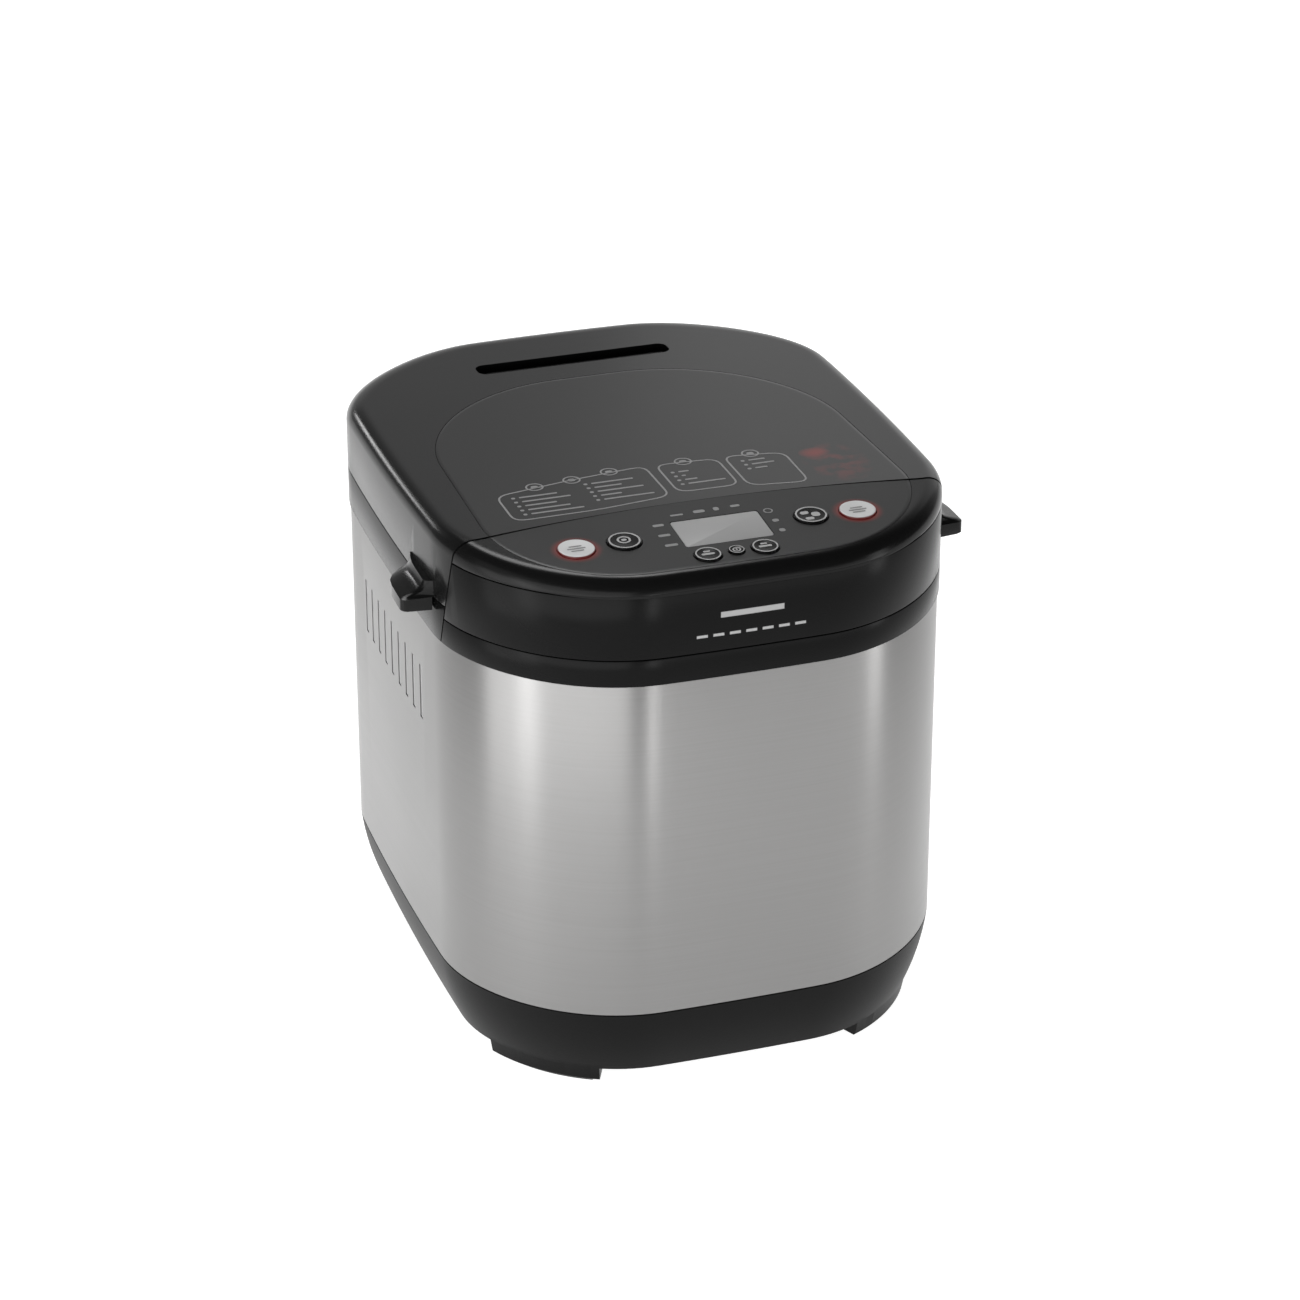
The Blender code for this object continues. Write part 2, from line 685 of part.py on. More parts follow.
def chamber():
    outer = chamber_outline(0)
    inner = chamber_outline(CHAMBER_T)
    flange = chamber_outline(-CHAMBER_FLANGE)
    floor_z = CHAMBER_Z + CHAMBER_T
    rings = [
        at_level(outer, CHAMBER_Z),
        at_level(outer, CHAMBER_FLANGE_Z - CHAMBER_T),
        at_level(flange, CHAMBER_FLANGE_Z - CHAMBER_T),
        at_level(flange, CHAMBER_FLANGE_Z),
        at_level(outer, CHAMBER_FLANGE_Z),
        at_level(outer, CHAMBER_TOP),
        at_level(inner, CHAMBER_TOP),
        at_level(inner, floor_z),
    ]
    return loft(rings)


oven = place("baking_chamber", chamber(), GALVANISED)
ELEMENT_R = 3.3 * MM
ELEMENT_Z = CHAMBER_Z + 30 * MM
ELEMENT_X = CHAMBER_X / 2 - 12 * MM
ELEMENT_Y = CHAMBER_Y / 2 - 11 * MM
ELEMENT_LEGS = 26 * MM
LEG_OUT = 9 * MM
PROBE_R = 2.5 * MM
PROBE_Z = CHAMBER_Z + 70 * MM
CHAMBER_FRONT_Y = DRIVE_Y - CHAMBER_Y / 2
SHAFT_HOLE_R = SHAFT_R + 2.5 * MM
PROBE_X = 40 * MM
oven_holes = [turned([(SHAFT_HOLE_R, CHAMBER_Z - 5 * MM), (SHAFT_HOLE_R, CHAMBER_Z + 6 * MM)], 0, DRIVE_Y)]
for x in (-ELEMENT_LEGS, ELEMENT_LEGS):
    leg_hole = turned([(ELEMENT_R + 0.6 * MM, -4 * MM), (ELEMENT_R + 0.6 * MM, 4 * MM)], steps=16)
    oven_holes.append(along_y(leg_hole, x, CHAMBER_FRONT_Y, ELEMENT_Z))
probe_hole = turned([(PROBE_R + 0.5 * MM, -4 * MM), (PROBE_R + 0.5 * MM, 4 * MM)], steps=16)
oven_holes.append(along_y(probe_hole, PROBE_X, CHAMBER_FRONT_Y, PROBE_Z))
boolean(oven, cutter("cut_oven_holes", joined(*oven_holes)))


def element_route():
    """The heater's centre line: in through the front wall, round the pan and out again."""
    loop = rounded_box(ELEMENT_X, -ELEMENT_Y, ELEMENT_Y, 34 * MM, 34 * MM, 5)
    loop = [p for p in loop if not (p.y < -ELEMENT_Y + 0.01 * MM and abs(p.x) < ELEMENT_LEGS)]
    start = next(i for i, p in enumerate(loop) if p.y < -ELEMENT_Y + 0.01 * MM and p.x > 0)
    loop = loop[start:] + loop[:start]
    bend = 7 * MM
    entry = arc(ELEMENT_LEGS + bend, -ELEMENT_Y - bend, bend, pi, pi / 2, 4)
    entry = [Vector((ELEMENT_LEGS, -CHAMBER_Y / 2 - LEG_OUT))] + entry
    leave = [Vector((-p.x, p.y)) for p in reversed(entry)]
    return [Vector((p.x, p.y + DRIVE_Y, ELEMENT_Z)) for p in entry + loop + leave]


def tube_curve(name, points, radius, finish, resolution=2):
    curve = bpy.data.curves.new(name, "CURVE")
    curve.dimensions = "3D"
    curve.bevel_depth = radius
    curve.bevel_resolution = resolution
    curve.use_fill_caps = True
    line = curve.splines.new("POLY")
    line.points.add(len(points) - 1)
    for spot, point in zip(line.points, points):
        spot.co = (*point, 1)
    curve.materials.append(finish)
    made = bpy.data.objects.new(name, curve)
    bpy.context.scene.collection.objects.link(made)
    return made


tube_curve("heating_element", element_route(), ELEMENT_R, STEEL)
probe = turned([(PROBE_R, -7 * MM), (PROBE_R, 5 * MM), (PROBE_R * 0.5, 6.5 * MM)], steps=16)
place("temperature_probe", along_y(probe, PROBE_X, CHAMBER_FRONT_Y, PROBE_Z), STEEL)

# Pan seat, bearing and drive train --------------------------------------------------------------
CHAMBER_FLOOR = CHAMBER_Z + CHAMBER_T
PAN_Z = CHAMBER_FLOOR + PAN_STAND
SEAT_R = 36 * MM
SEAT_H = 14 * MM
seat_profile = [
    (SEAT_R + 6 * MM, CHAMBER_FLOOR + GAP),
    (SEAT_R + 6 * MM, CHAMBER_FLOOR + 2 * MM),
    (SEAT_R + 2 * MM, CHAMBER_FLOOR + 2.6 * MM),
    (SEAT_R + 2 * MM, CHAMBER_FLOOR + SEAT_H),
    (SEAT_R, CHAMBER_FLOOR + SEAT_H),
    (SEAT_R, CHAMBER_FLOOR + GAP),
]
place("pan_seat", turned_ring(seat_profile, 0, DRIVE_Y, 32), ALUMINIUM)

CHASSIS_Z = STEEL_Z - 2 * MM
chassis = place(
    "chassis_plate",
    prism(body_outline(STEEL_INSET + SHEET + BASE_TUCK * 0.3), CHASSIS_Z, CHASSIS_Z + CHASSIS_T),
    GALVANISED,
)
BEARING_R = 13 * MM
MOTOR_BOSS_R = 9 * MM
chassis_holes = [
    turned([(BEARING_R + GAP, CHASSIS_Z - 5 * MM), (BEARING_R + GAP, CHASSIS_Z + 7 * MM)], 0, DRIVE_Y),
    turned([(MOTOR_BOSS_R, CHASSIS_Z - 5 * MM), (MOTOR_BOSS_R, CHASSIS_Z + 7 * MM)], MOTOR_X, MOTOR_Y),
]
boolean(chassis, cutter("cut_chassis", joined(*chassis_holes)))

BUSH_R = 8 * MM
bearing_low = CHASSIS_Z - 4 * MM
bearing_top = CHAMBER_Z - GAP
bearing_profile = [
    (BEARING_R, bearing_low),
    (BEARING_R, CHASSIS_Z + CHASSIS_T + GAP),
    (BEARING_R + 12 * MM, CHASSIS_Z + CHASSIS_T + GAP),
    (BEARING_R + 12 * MM, CHASSIS_Z + CHASSIS_T + 3 * MM),
    (BEARING_R + 3 * MM, bearing_top),
    (BUSH_R + GAP, bearing_top),
    (BUSH_R + GAP, bearing_low),
]
place("bearing_housing", turned_ring(bearing_profile, 0, DRIVE_Y), ALUMINIUM)
bush_profile = [
    (BUSH_R, bearing_low),
    (BUSH_R, bearing_top),
    (SHAFT_R + BORE_GAP, bearing_top),
    (SHAFT_R + BORE_GAP, bearing_low),
]
place("drive_bush", turned_ring(bush_profile, 0, DRIVE_Y), BRASS)

DOG_R = 13 * MM
DOG_Z = CHAMBER_FLOOR + 5 * MM  # underside of the lower dog's disc
DOG_DISC = 4 * MM
DOG_LOBE = 9 * MM
drive_axis = pivot("drive_axis", 0, DRIVE_Y, PULLEY_Z)
shaft_low = BASE_Z + FLOOR_T + 3 * MM
place(
    "drive_shaft",
    turned([(SHAFT_R, shaft_low), (SHAFT_R, DOG_Z - GAP)], 0, DRIVE_Y),
    STEEL,
    parent=drive_axis,
)


def large_pulley():
    low, high = PULLEY_Z - 2 * MM, PULLEY_Z + BELT_W + 2 * MM
    web_low, web_high = PULLEY_Z + 3 * MM, PULLEY_Z + 6 * MM
    rim = LARGE_PULLEY_R
    bore = SHAFT_R + BORE_GAP
    profile = [
        (bore, low),
        (bore + 5 * MM, low),
        (bore + 5 * MM, web_low),
        (rim - 4 * MM, web_low),
        (rim - 4 * MM, low + 1 * MM),
        (rim + 1.5 * MM, low + 1 * MM),
        (rim + 1.5 * MM, PULLEY_Z - GAP),
        (rim, PULLEY_Z - GAP),
        (rim, PULLEY_Z + BELT_W + GAP),
        (rim + 1.5 * MM, PULLEY_Z + BELT_W + GAP),
        (rim + 1.5 * MM, high - 0.5 * MM),
        (rim - 4 * MM, high - 0.5 * MM),
        (rim - 4 * MM, web_high),
        (bore + 5 * MM, web_high),
        (bore + 5 * MM, high),
        (bore, high),
    ]
    return turned_ring(profile, 0, DRIVE_Y, 40)


pulley = place("large_pulley", large_pulley(), BLACK_SATIN, parent=drive_axis)
window_r = LARGE_PULLEY_R * 0.24
windows = []
for i in range(5):
    turn = 2 * pi * i / 5
    x = LARGE_PULLEY_R * 0.57 * cos(turn)
    y = DRIVE_Y + LARGE_PULLEY_R * 0.57 * sin(turn)
    windows.append(turned([(window_r, PULLEY_Z - 5 * MM), (window_r, PULLEY_Z + 15 * MM)], x, y, 16))
boolean(pulley, cutter("cut_pulley_windows", joined(*windows)))


def sector(inner, outer, middle, half_angle, z_low, z_high, steps=4):
    far = arc(0, DRIVE_Y, outer, middle - half_angle, middle + half_angle, steps)
    near = arc(0, DRIVE_Y, inner, middle + half_angle, middle - half_angle, steps)
    return prism(far + near, z_low, z_high)


def dog(name, disc_low, disc_high, lobe_low, lobe_high, turn, finish, parent, bore):
    """A drive dog: a disc with two lobes that push the lobes of its mate."""
    rim = [(DOG_R, disc_low), (DOG_R, disc_high)]
    if bore:
        disc = turned_ring(rim + [(bore, disc_high), (bore, disc_low)], 0, DRIVE_Y, 32)
    else:
        disc = turned(rim, 0, DRIVE_Y, 32)
    made = place(name, disc, finish, parent=parent)
    lobes = [
        sector(DOG_R * 0.5, DOG_R - 0.5 * MM, turn + half, radians(40), lobe_low, lobe_high)
        for half in (0, pi)
    ]
    boolean(made, cutter(f"add_{name}", joined(*lobes)), "UNION")
    return made


DOG_TOP = DOG_Z + DOG_DISC
DOG_HALF = DOG_Z + DOG_DISC / 2
dog("drive_dog", DOG_Z, DOG_TOP, DOG_HALF, DOG_TOP + DOG_LOBE, 0, STEEL, drive_axis, 0)

MOTOR_SHAFT_R = 4 * MM
motor_axis = pivot("motor_axis", MOTOR_X, MOTOR_Y, PULLEY_Z)
motor_base = CHASSIS_Z + CHASSIS_T + GAP
motor_profile = [
    (MOTOR_SHAFT_R + BORE_GAP, motor_base),
    (MOTOR_R, motor_base),
    (MOTOR_R, motor_base + MOTOR_H),
    (MOTOR_R - 6 * MM, motor_base + MOTOR_H + 4 * MM),
    (MOTOR_SHAFT_R + BORE_GAP, motor_base + MOTOR_H + 4 * MM),
]
place("motor", turned_ring(motor_profile, MOTOR_X, MOTOR_Y, 28), STEEL)
shaft_high = motor_base + MOTOR_H + 7 * MM
place(
    "motor_shaft",
    turned([(MOTOR_SHAFT_R, shaft_low), (MOTOR_SHAFT_R, shaft_high)], MOTOR_X, MOTOR_Y, 20),
    STEEL,
    parent=motor_axis,
)
small_profile = [
    (MOTOR_SHAFT_R + BORE_GAP, PULLEY_Z - 2 * MM),
    (SMALL_PULLEY_R + 1.5 * MM, PULLEY_Z - 2 * MM),
    (SMALL_PULLEY_R + 1.5 * MM, PULLEY_Z - GAP),
    (SMALL_PULLEY_R, PULLEY_Z - GAP),
    (SMALL_PULLEY_R, PULLEY_Z + BELT_W + GAP),
    (SMALL_PULLEY_R + 1.5 * MM, PULLEY_Z + BELT_W + GAP),
    (SMALL_PULLEY_R + 1.5 * MM, PULLEY_Z + BELT_W + 2 * MM),
    (MOTOR_SHAFT_R + BORE_GAP, PULLEY_Z + BELT_W + 2 * MM),
]
place("motor_pulley", turned_ring(small_profile, MOTOR_X, MOTOR_Y, 24), ALUMINIUM, parent=motor_axis)


def belt_loop(extra):
    """The belt's outline round both pulleys, extra outside their rims."""
    large = LARGE_PULLEY_R + extra
    small = SMALL_PULLEY_R + extra
    reach = Vector((MOTOR_X, MOTOR_Y - DRIVE_Y))
    heading = atan2(reach.y, reach.x)
    lean = (large - small) / reach.length
    turn = pi / 2 - atan2(lean, sqrt(1 - lean**2))
    far = arc(0, DRIVE_Y, large, heading + turn, heading + 2 * pi - turn, 32)
    near = arc(MOTOR_X, MOTOR_Y, small, heading - turn, heading + turn, 10)
    return far + near


place(
    "drive_belt",
    tube(belt_loop(GAP + BELT_T), belt_loop(GAP), PULLEY_Z, PULLEY_Z + BELT_W),
    RUBBER,
)

# Boards in the front bay ------------------------------------------------------------------------
POWER_X = (8 * MM, 84 * MM)
POWER_Y = CHAMBER_FRONT_Y - 24 * MM
POWER_Z = (CHASSIS_Z + 22 * MM, CHASSIS_Z + 112 * MM)
place(
    "power_board",
    block((POWER_X[0], POWER_Y, POWER_Z[0]), (POWER_X[1], POWER_Y + BOARD_T, POWER_Z[1])),
    BOARD,
    smooth=False,
)
place(
    "transformer",
    block(
        (POWER_X[0] + 8 * MM, POWER_Y - 30 * MM, POWER_Z[0] + 6 * MM),
        (POWER_X[0] + 44 * MM, POWER_Y - GAP, POWER_Z[0] + 42 * MM),
    ),
    GREY,
    smooth=False,
)

# Bread pan --------------------------------------------------------------------------------------
PAN_TOP = PAN_Z + PAN_H
PAN_TAPER = 2.5 * MM


def pan_outline(distance):
    return inset(
        rounded_box(PAN_X / 2, DRIVE_Y - PAN_Y / 2, DRIVE_Y + PAN_Y / 2, PAN_R, PAN_R, 6), distance
    )


pan_axis = pivot("pan_axis", 0, DRIVE_Y, PAN_Z)


def pan():
    rings = [
        at_level(pan_outline(PAN_TAPER + 2 * MM), PAN_Z),
        at_level(pan_outline(PAN_TAPER), PAN_Z + 2 * MM),
        at_level(pan_outline(0), PAN_TOP - 2 * MM),
        at_level(pan_outline(-PAN_LIP), PAN_TOP - 2 * MM),
        at_level(pan_outline(-PAN_LIP), PAN_TOP),
        at_level(pan_outline(PAN_T), PAN_TOP),
        at_level(pan_outline(PAN_TAPER + PAN_T), PAN_Z + PAN_T + 2 * MM),
        at_level(pan_outline(PAN_TAPER + PAN_T + 2 * MM), PAN_Z + PAN_T),
    ]
    return loft(rings)


bread_pan = place("bread_pan", pan(), NON_STICK, parent=pan_axis)
PAN_BUSH_R = 8 * MM
pan_hole = turned([(PAN_BUSH_R + GAP, PAN_Z - 5 * MM), (PAN_BUSH_R + GAP, PAN_Z + 8 * MM)], 0, DRIVE_Y)
boolean(bread_pan, cutter("cut_pan_hole", pan_hole))

COLLAR_R = SEAT_R - 1.2 * MM
collar_profile = [
    (COLLAR_R, CHAMBER_FLOOR + 1.5 * MM),
    (COLLAR_R, PAN_Z - GAP),
    (COLLAR_R - 2.5 * MM, PAN_Z - GAP),
    (COLLAR_R - 2.5 * MM, CHAMBER_FLOOR + 1.5 * MM),
]
place("pan_collar", turned_ring(collar_profile, 0, DRIVE_Y, 32), ALUMINIUM, parent=pan_axis)
pan_bush_profile = [
    (PAN_BUSH_R + 5 * MM, PAN_Z - 3 * MM),
    (PAN_BUSH_R + 5 * MM, PAN_Z - GAP),
    (PAN_BUSH_R, PAN_Z - GAP),
    (PAN_BUSH_R, PAN_Z + 7 * MM),
    (SHAFT_R + BORE_GAP, PAN_Z + 7 * MM),
    (SHAFT_R + BORE_GAP, PAN_Z - 3 * MM),
]
place("pan_bush", turned_ring(pan_bush_profile, 0, DRIVE_Y), BRASS, parent=pan_axis)

paddle_axis = pivot("paddle_axis", 0, DRIVE_Y, PAN_Z)
paddle_axis.parent = pan_axis
paddle_axis.matrix_parent_inverse = pan_axis.matrix_world.inverted()
bpy.context.view_layer.update()
UPPER_DOG_TOP = PAN_Z - 4 * MM
UPPER_DOG_DISC = 4 * MM
upper_disc_low = UPPER_DOG_TOP - UPPER_DOG_DISC
dog(
    "pan_dog",
    upper_disc_low,
    UPPER_DOG_TOP,
    DOG_Z + DOG_DISC + 1 * MM,
    upper_disc_low + UPPER_DOG_DISC / 2,
    pi / 2,
    STEEL,
    paddle_axis,
    SHAFT_R + GAP,
)
place(
    "pan_shaft",
    turned([(SHAFT_R, upper_disc_low), (SHAFT_R, PAN_Z + SPINDLE_H)], 0, DRIVE_Y),
    STEEL,
    parent=paddle_axis,
)

PADDLE_Z = PAN_Z + 8 * MM
PADDLE_HUB_R = 9 * MM
PADDLE_HUB_H = 22 * MM
PADDLE_T = 5 * MM


def paddle_blade():
    """A fin that leans forward as it turns, wide at the hub and rounded at its tip."""
    low = PADDLE_Z
    outline = [
        (PADDLE_HUB_R * 0.75, low + 0.5 * MM),
        (PADDLE_LEN - 8 * MM, low),
        (PADDLE_LEN, low + 7 * MM),
        (PADDLE_LEN - 3 * MM, low + 19 * MM),
        (PADDLE_LEN - 12 * MM, low + 27 * MM),
        (PADDLE_LEN * 0.5, low + 25 * MM),
        (PADDLE_HUB_R * 0.75, low + PADDLE_HUB_H - 4 * MM),
    ]
    lean = 0.22
    rows = []
    for side in (-1, 1):
        row = []
        for x, z in outline:
            thick = PADDLE_T * (0.5 - 0.15 * (z - low) / PADDLE_HUB_H)
            row.append(Vector((x, DRIVE_Y + side * thick + lean * (z - low), z)))
        rows.append(row)
    return loft(rows)


paddle_profile = [
    (PADDLE_HUB_R + 1 * MM, PADDLE_Z),
    (PADDLE_HUB_R, PADDLE_Z + PADDLE_HUB_H),
    (SHAFT_R + BORE_GAP, PADDLE_Z + PADDLE_HUB_H),
    (SHAFT_R + BORE_GAP, PADDLE_Z),
]
paddle = place("kneading_paddle", turned_ring(paddle_profile, 0, DRIVE_Y), NON_STICK, parent=paddle_axis)
boolean(paddle, cutter("add_blade", paddle_blade()), "UNION")

# Pan handle -------------------------------------------------------------------------------------
BAIL_R = 2.2 * MM
BAIL_X = PAN_X / 2 + PAN_LIP + 5.5 * MM
BAIL_Z = PAN_TOP - 8 * MM
BAIL_REACH = PAN_Y / 2 - 6 * MM
BAIL_REST = radians(10.5)
ear_t = 1.6 * MM
bail_axis = pivot("bail_axis", 0, DRIVE_Y, BAIL_Z)
bail_axis.parent = pan_axis
bail_axis.matrix_parent_inverse = pan_axis.matrix_world.inverted()
bpy.context.view_layer.update()
EAR_HALF = 8 * MM
EAR_X = PAN_X / 2 + 0.8 * MM
for side, name in ((-1, "handle_ear_left"), (1, "handle_ear_right")):
    near, far = sorted((side * EAR_X, side * (EAR_X + ear_t)))
    ear = place(
        name,
        block(
            (near, DRIVE_Y - EAR_HALF, BAIL_Z - 9 * MM),
            (far, DRIVE_Y + EAR_HALF, PAN_TOP - 2 * MM - GAP),
        ),
        STEEL,
        smooth=False,
        parent=pan_axis,
    )
    hole = turned([(BAIL_R + BORE_GAP, -8 * MM), (BAIL_R + BORE_GAP, 8 * MM)], steps=16)
    boolean(ear, cutter(f"cut_{name}", along_x(hole, side * EAR_X, DRIVE_Y, BAIL_Z)))


def bail_route():
    """Pivot, arm, rounded corner and grip of the wire handle, lying towards the front."""
    corner = 12 * MM
    inner = EAR_X + ear_t / 2 - 0.6 * MM
    flat = [Vector((inner, 0)), Vector((BAIL_X - 1.5 * MM, 0)), Vector((BAIL_X, -1.5 * MM))]
    flat += arc(BAIL_X - corner, -BAIL_REACH + corner, corner, 0, -pi / 2, 5)
    flat += [Vector((-p.x, p.y)) for p in reversed(flat)]
    return [Vector((p.x, DRIVE_Y + p.y * cos(BAIL_REST), BAIL_Z - p.y * sin(BAIL_REST))) for p in flat]


bail = tube_curve("pan_handle", bail_route(), BAIL_R, STEEL)
bail.parent = bail_axis
bail.matrix_parent_inverse = bail_axis.matrix_world.inverted()

# Lid --------------------------------------------------------------------------------------------
LID_Z = SIDE_SEAM_Z + GAP
lid_axis = pivot("lid_axis", 0, HINGE_Y, HINGE_Z)
lid = place("lid_shell", dome(lid_top_z, LID_Z), BLACK_GLOSS, parent=lid_axis)
boolean(lid, cut_front)
lid_inside = cutter("cut_lid_inside", dome(lid_top_z, LID_Z - 5 * MM, PLASTIC))
boolean(lid_inside, cut_front_inside)
boolean(lid, lid_inside)

slot_far = SLOT_Y - CREASE_Y
slot_half = SLOT_D / 2


def slot_outline(extra):
    half_w = SLOT_W / 2 + extra
    half_d = slot_half + extra
    corner = half_d * 0.75
    return rounded_box(half_w, slot_far - half_d, slot_far + half_d, corner, corner, 4)


boolean(lid, cutter("cut_steam_slot", prism(slot_outline(0), -OVER, OVER), lid_frame))
lid_recess = prism(inlay_outline(0), -INLAY_T - GAP, OVER)
boolean(lid, cutter("cut_lid_recess", lid_recess, lid_frame))
inlay = place(
    "lid_inlay",
    prism(inlay_outline(GAP), -INLAY_T, 0),
    BLACK_GLOSS,
    parent=lid_axis,
    frame=lid_frame,
)
boolean(inlay, cut_front)

LOUVRE_T = 1.2 * MM
LOUVRE_DEPTH = 9 * MM
louvre_top = -PLASTIC - GAP


def louvre():
    """A trough under the steam slot with a flange that clips behind the lid."""
    flange = slot_outline(3 * MM)
    outer = slot_outline(LOUVRE_T + 0.5 * MM)
    inner = slot_outline(0.5 * MM)
    rings = [
        at_level(outer, louvre_top - LOUVRE_DEPTH),
        at_level(outer, louvre_top - LOUVRE_T),
        at_level(flange, louvre_top - LOUVRE_T),
        at_level(flange, louvre_top),
        at_level(inner, louvre_top),
        at_level(inner, louvre_top - LOUVRE_DEPTH + LOUVRE_T),
    ]
    return loft(rings)


trough = place("steam_trough", louvre(), BLACK_SATIN, parent=lid_axis, frame=lid_frame)
STEAM_SLITS = 6
slits = []
for i in range(STEAM_SLITS):
    x = SLOT_W * 0.8 * ((i + 0.5) / STEAM_SLITS - 0.5)
    low = (x - 4 * MM, slot_far - 1.5 * MM, louvre_top - LOUVRE_DEPTH - 3 * MM)
    slits.append(block(low, (x + 4 * MM, slot_far + 1.5 * MM, louvre_top - LOUVRE_DEPTH + 3 * MM)))
boolean(trough, cutter("cut_steam_slits", joined(*slits), lid_frame))

LINER_T = 1.0 * MM
LINER_DROP = 12 * MM
LINER_INSET = 8 * MM
LINER_Z = SIDE_SEAM_Z + 6 * MM


def liner():
    """A shallow metal tray that faces the pan, open towards the lid's inside."""
    top = LINER_Z + LINER_DROP
    rings = [
        at_level(body_outline(LINER_INSET + 4 * MM), LINER_Z),
        at_level(body_outline(LINER_INSET), top),
        at_level(body_outline(LINER_INSET + LINER_T), top),
        at_level(body_outline(LINER_INSET + 4 * MM + LINER_T), LINER_Z + LINER_T),
    ]
    return loft(rings)


liner_front = split_half("cut_liner_front", -1, PART_GAP / 2 + PLASTIC + 8 * MM)
lid_liner = place("lid_liner", liner(), ALUMINIUM, parent=lid_axis)
boolean(lid_liner, liner_front)
STEAM_HOLES = 7
steam_holes = []
for i in range(STEAM_HOLES):
    x = SLOT_W * 0.8 * (i / (STEAM_HOLES - 1) - 0.5)
    steam_holes.append(turned([(2.2 * MM, LINER_Z - 3 * MM), (2.2 * MM, LINER_Z + 5 * MM)], x, SLOT_Y, 12))
boolean(lid_liner, cutter("cut_steam_holes", joined(*steam_holes)))


def side_x_at(y, distance):
    """x of the outline's right side at y, moved in by distance."""
    line = sorted((p for p in body_outline(distance) if p.x > 0), key=lambda p: p.y)
    for low, high in zip(line, line[1:]):
        if low.y <= y <= high.y:
            return low.lerp(high, (y - low.y) / (high.y - low.y)).x
    raise ValueError("y is outside the outline")


def grip_outline(root, reach):
    """The grip from above. root is how far it reaches into the lid, and reach how far it sticks out."""
    outline = []
    steps = 6
    for i in range(steps + 1):
        y = GRIP_REAR_Y + (GRIP_FRONT_Y - GRIP_REAR_Y) * i / steps
        outline.append(Vector((side_x_at(y, root), y)))
    edge = side_x_at(GRIP_REAR_Y, 0)
    outline.append(Vector((edge + reach * 0.8, GRIP_FRONT_Y + 1 * MM)))
    outline.append(Vector((edge + reach, GRIP_FRONT_Y + 4 * MM)))
    outline.append(Vector((edge + reach * 0.96, GRIP_REAR_Y - 16 * MM)))
    outline.append(Vector((edge + reach * 0.8, GRIP_REAR_Y - 10 * MM)))
    return outline


GRIP_RISE = (  # share of the reach, height above the lid's lower edge
    (0.97, 1.0 * MM),
    (0.55, 2.6 * MM),
    (0.25, 4.6 * MM),
    (0.06, 7.4 * MM),
)


def grip(side):
    """A lifting tab on the lid's side: a slim wing whose top sweeps up into the lid."""
    root = 1.5 * MM
    ledge = 0.25 * MM
    rings = [
        at_level(grip_outline(-1 * MM, GRIP_OUT), LID_Z + 1 * MM - GRIP_T),
        at_level(grip_outline(-1 * MM, GRIP_OUT), LID_Z + ledge),
        at_level(grip_outline(root, GRIP_OUT), LID_Z + ledge),
    ]
    rings += [at_level(grip_outline(root, GRIP_OUT * share), LID_Z + z) for share, z in GRIP_RISE]
    for ring in rings:
        for point in ring:
            point.x *= side
    return loft(rings)


boolean(lid, cutter("add_lid_grips", joined(grip(-1), grip(1))), "UNION", "MANIFOLD")


# Hinge ------------------------------------------------------------------------------------------
def barrel(x_low, x_high, radius, steps=20):
    return along_x(turned([(radius, x_low), (radius, x_high)], steps=steps), 0, HINGE_Y, HINGE_Z)


lid_ears = []
for side in (-1, 1):
    near, far = sorted((side * LID_EAR[0], side * LID_EAR[1]))
    lid_ears.append(barrel(near, far, BARREL_R))
boolean(lid, cutter("add_lid_ears", joined(*lid_ears)), "UNION")
pin_bores, bracket_windows = [], []
for side in (-1, 1):
    near, far = sorted((side * (LID_EAR[0] - 2 * MM), side * (LID_EAR[1] + 2 * MM)))
    pin_bores.append(barrel(near, far, PIN_R + PIN_GAP, 16))
    near, far = sorted((side * (BRACKET_EAR[0] - 0.4 * MM), side * (BRACKET_EAR[1] + 0.4 * MM)))
    low = (near, HINGE_Y - BARREL_R - 4 * MM, LID_Z - 3 * MM)
    bracket_windows.append(block(low, (far, DEPTH / 2 + 4 * MM, HINGE_Z + BARREL_R + 0.9 * MM)))
boolean(lid, cutter("cut_lid_pin_bores", joined(*pin_bores)))
boolean(lid, cutter("cut_bracket_windows", joined(*bracket_windows)))

for side, word in ((-1, "left"), (1, "right")):
    near, far = sorted((side * BRACKET_EAR[0], side * BRACKET_EAR[1]))
    bracket = place(f"hinge_bracket_{word}", barrel(near, far, BARREL_R), STEEL)
    low = (near, HINGE_Y - BARREL_R - 2 * MM, INNER_DECK_TOP + GAP)
    high = (far, HINGE_Y - PIN_R - 1 * MM, HINGE_Z)
    leg = cutter(f"add_bracket_leg_{word}", block(low, high))
    boolean(bracket, leg, "UNION")
    bore = barrel(near - 2 * MM, far + 2 * MM, PIN_R + PIN_GAP, 16)
    boolean(bracket, cutter(f"cut_bracket_bore_{word}", bore))
    near, far = sorted((side * (LID_EAR[0] + 1 * MM), side * (BRACKET_EAR[1] - 1 * MM)))
    place(f"hinge_pin_{word}", barrel(near, far, PIN_R, 16), STEEL)
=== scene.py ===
# %% [markdown]
# A bread machine, from its imported frame to a lit scene ready for a picture
# The imported model gives every part's place and how it moves. This lesson rebuilds the surfaces that
# a cook sees with finer curves, and gives every part a finish made of shader nodes.

# %% The frame
import json
from math import atan, cos, pi, radians, sin

import bmesh
import bpy
from mathutils import Matrix, Vector

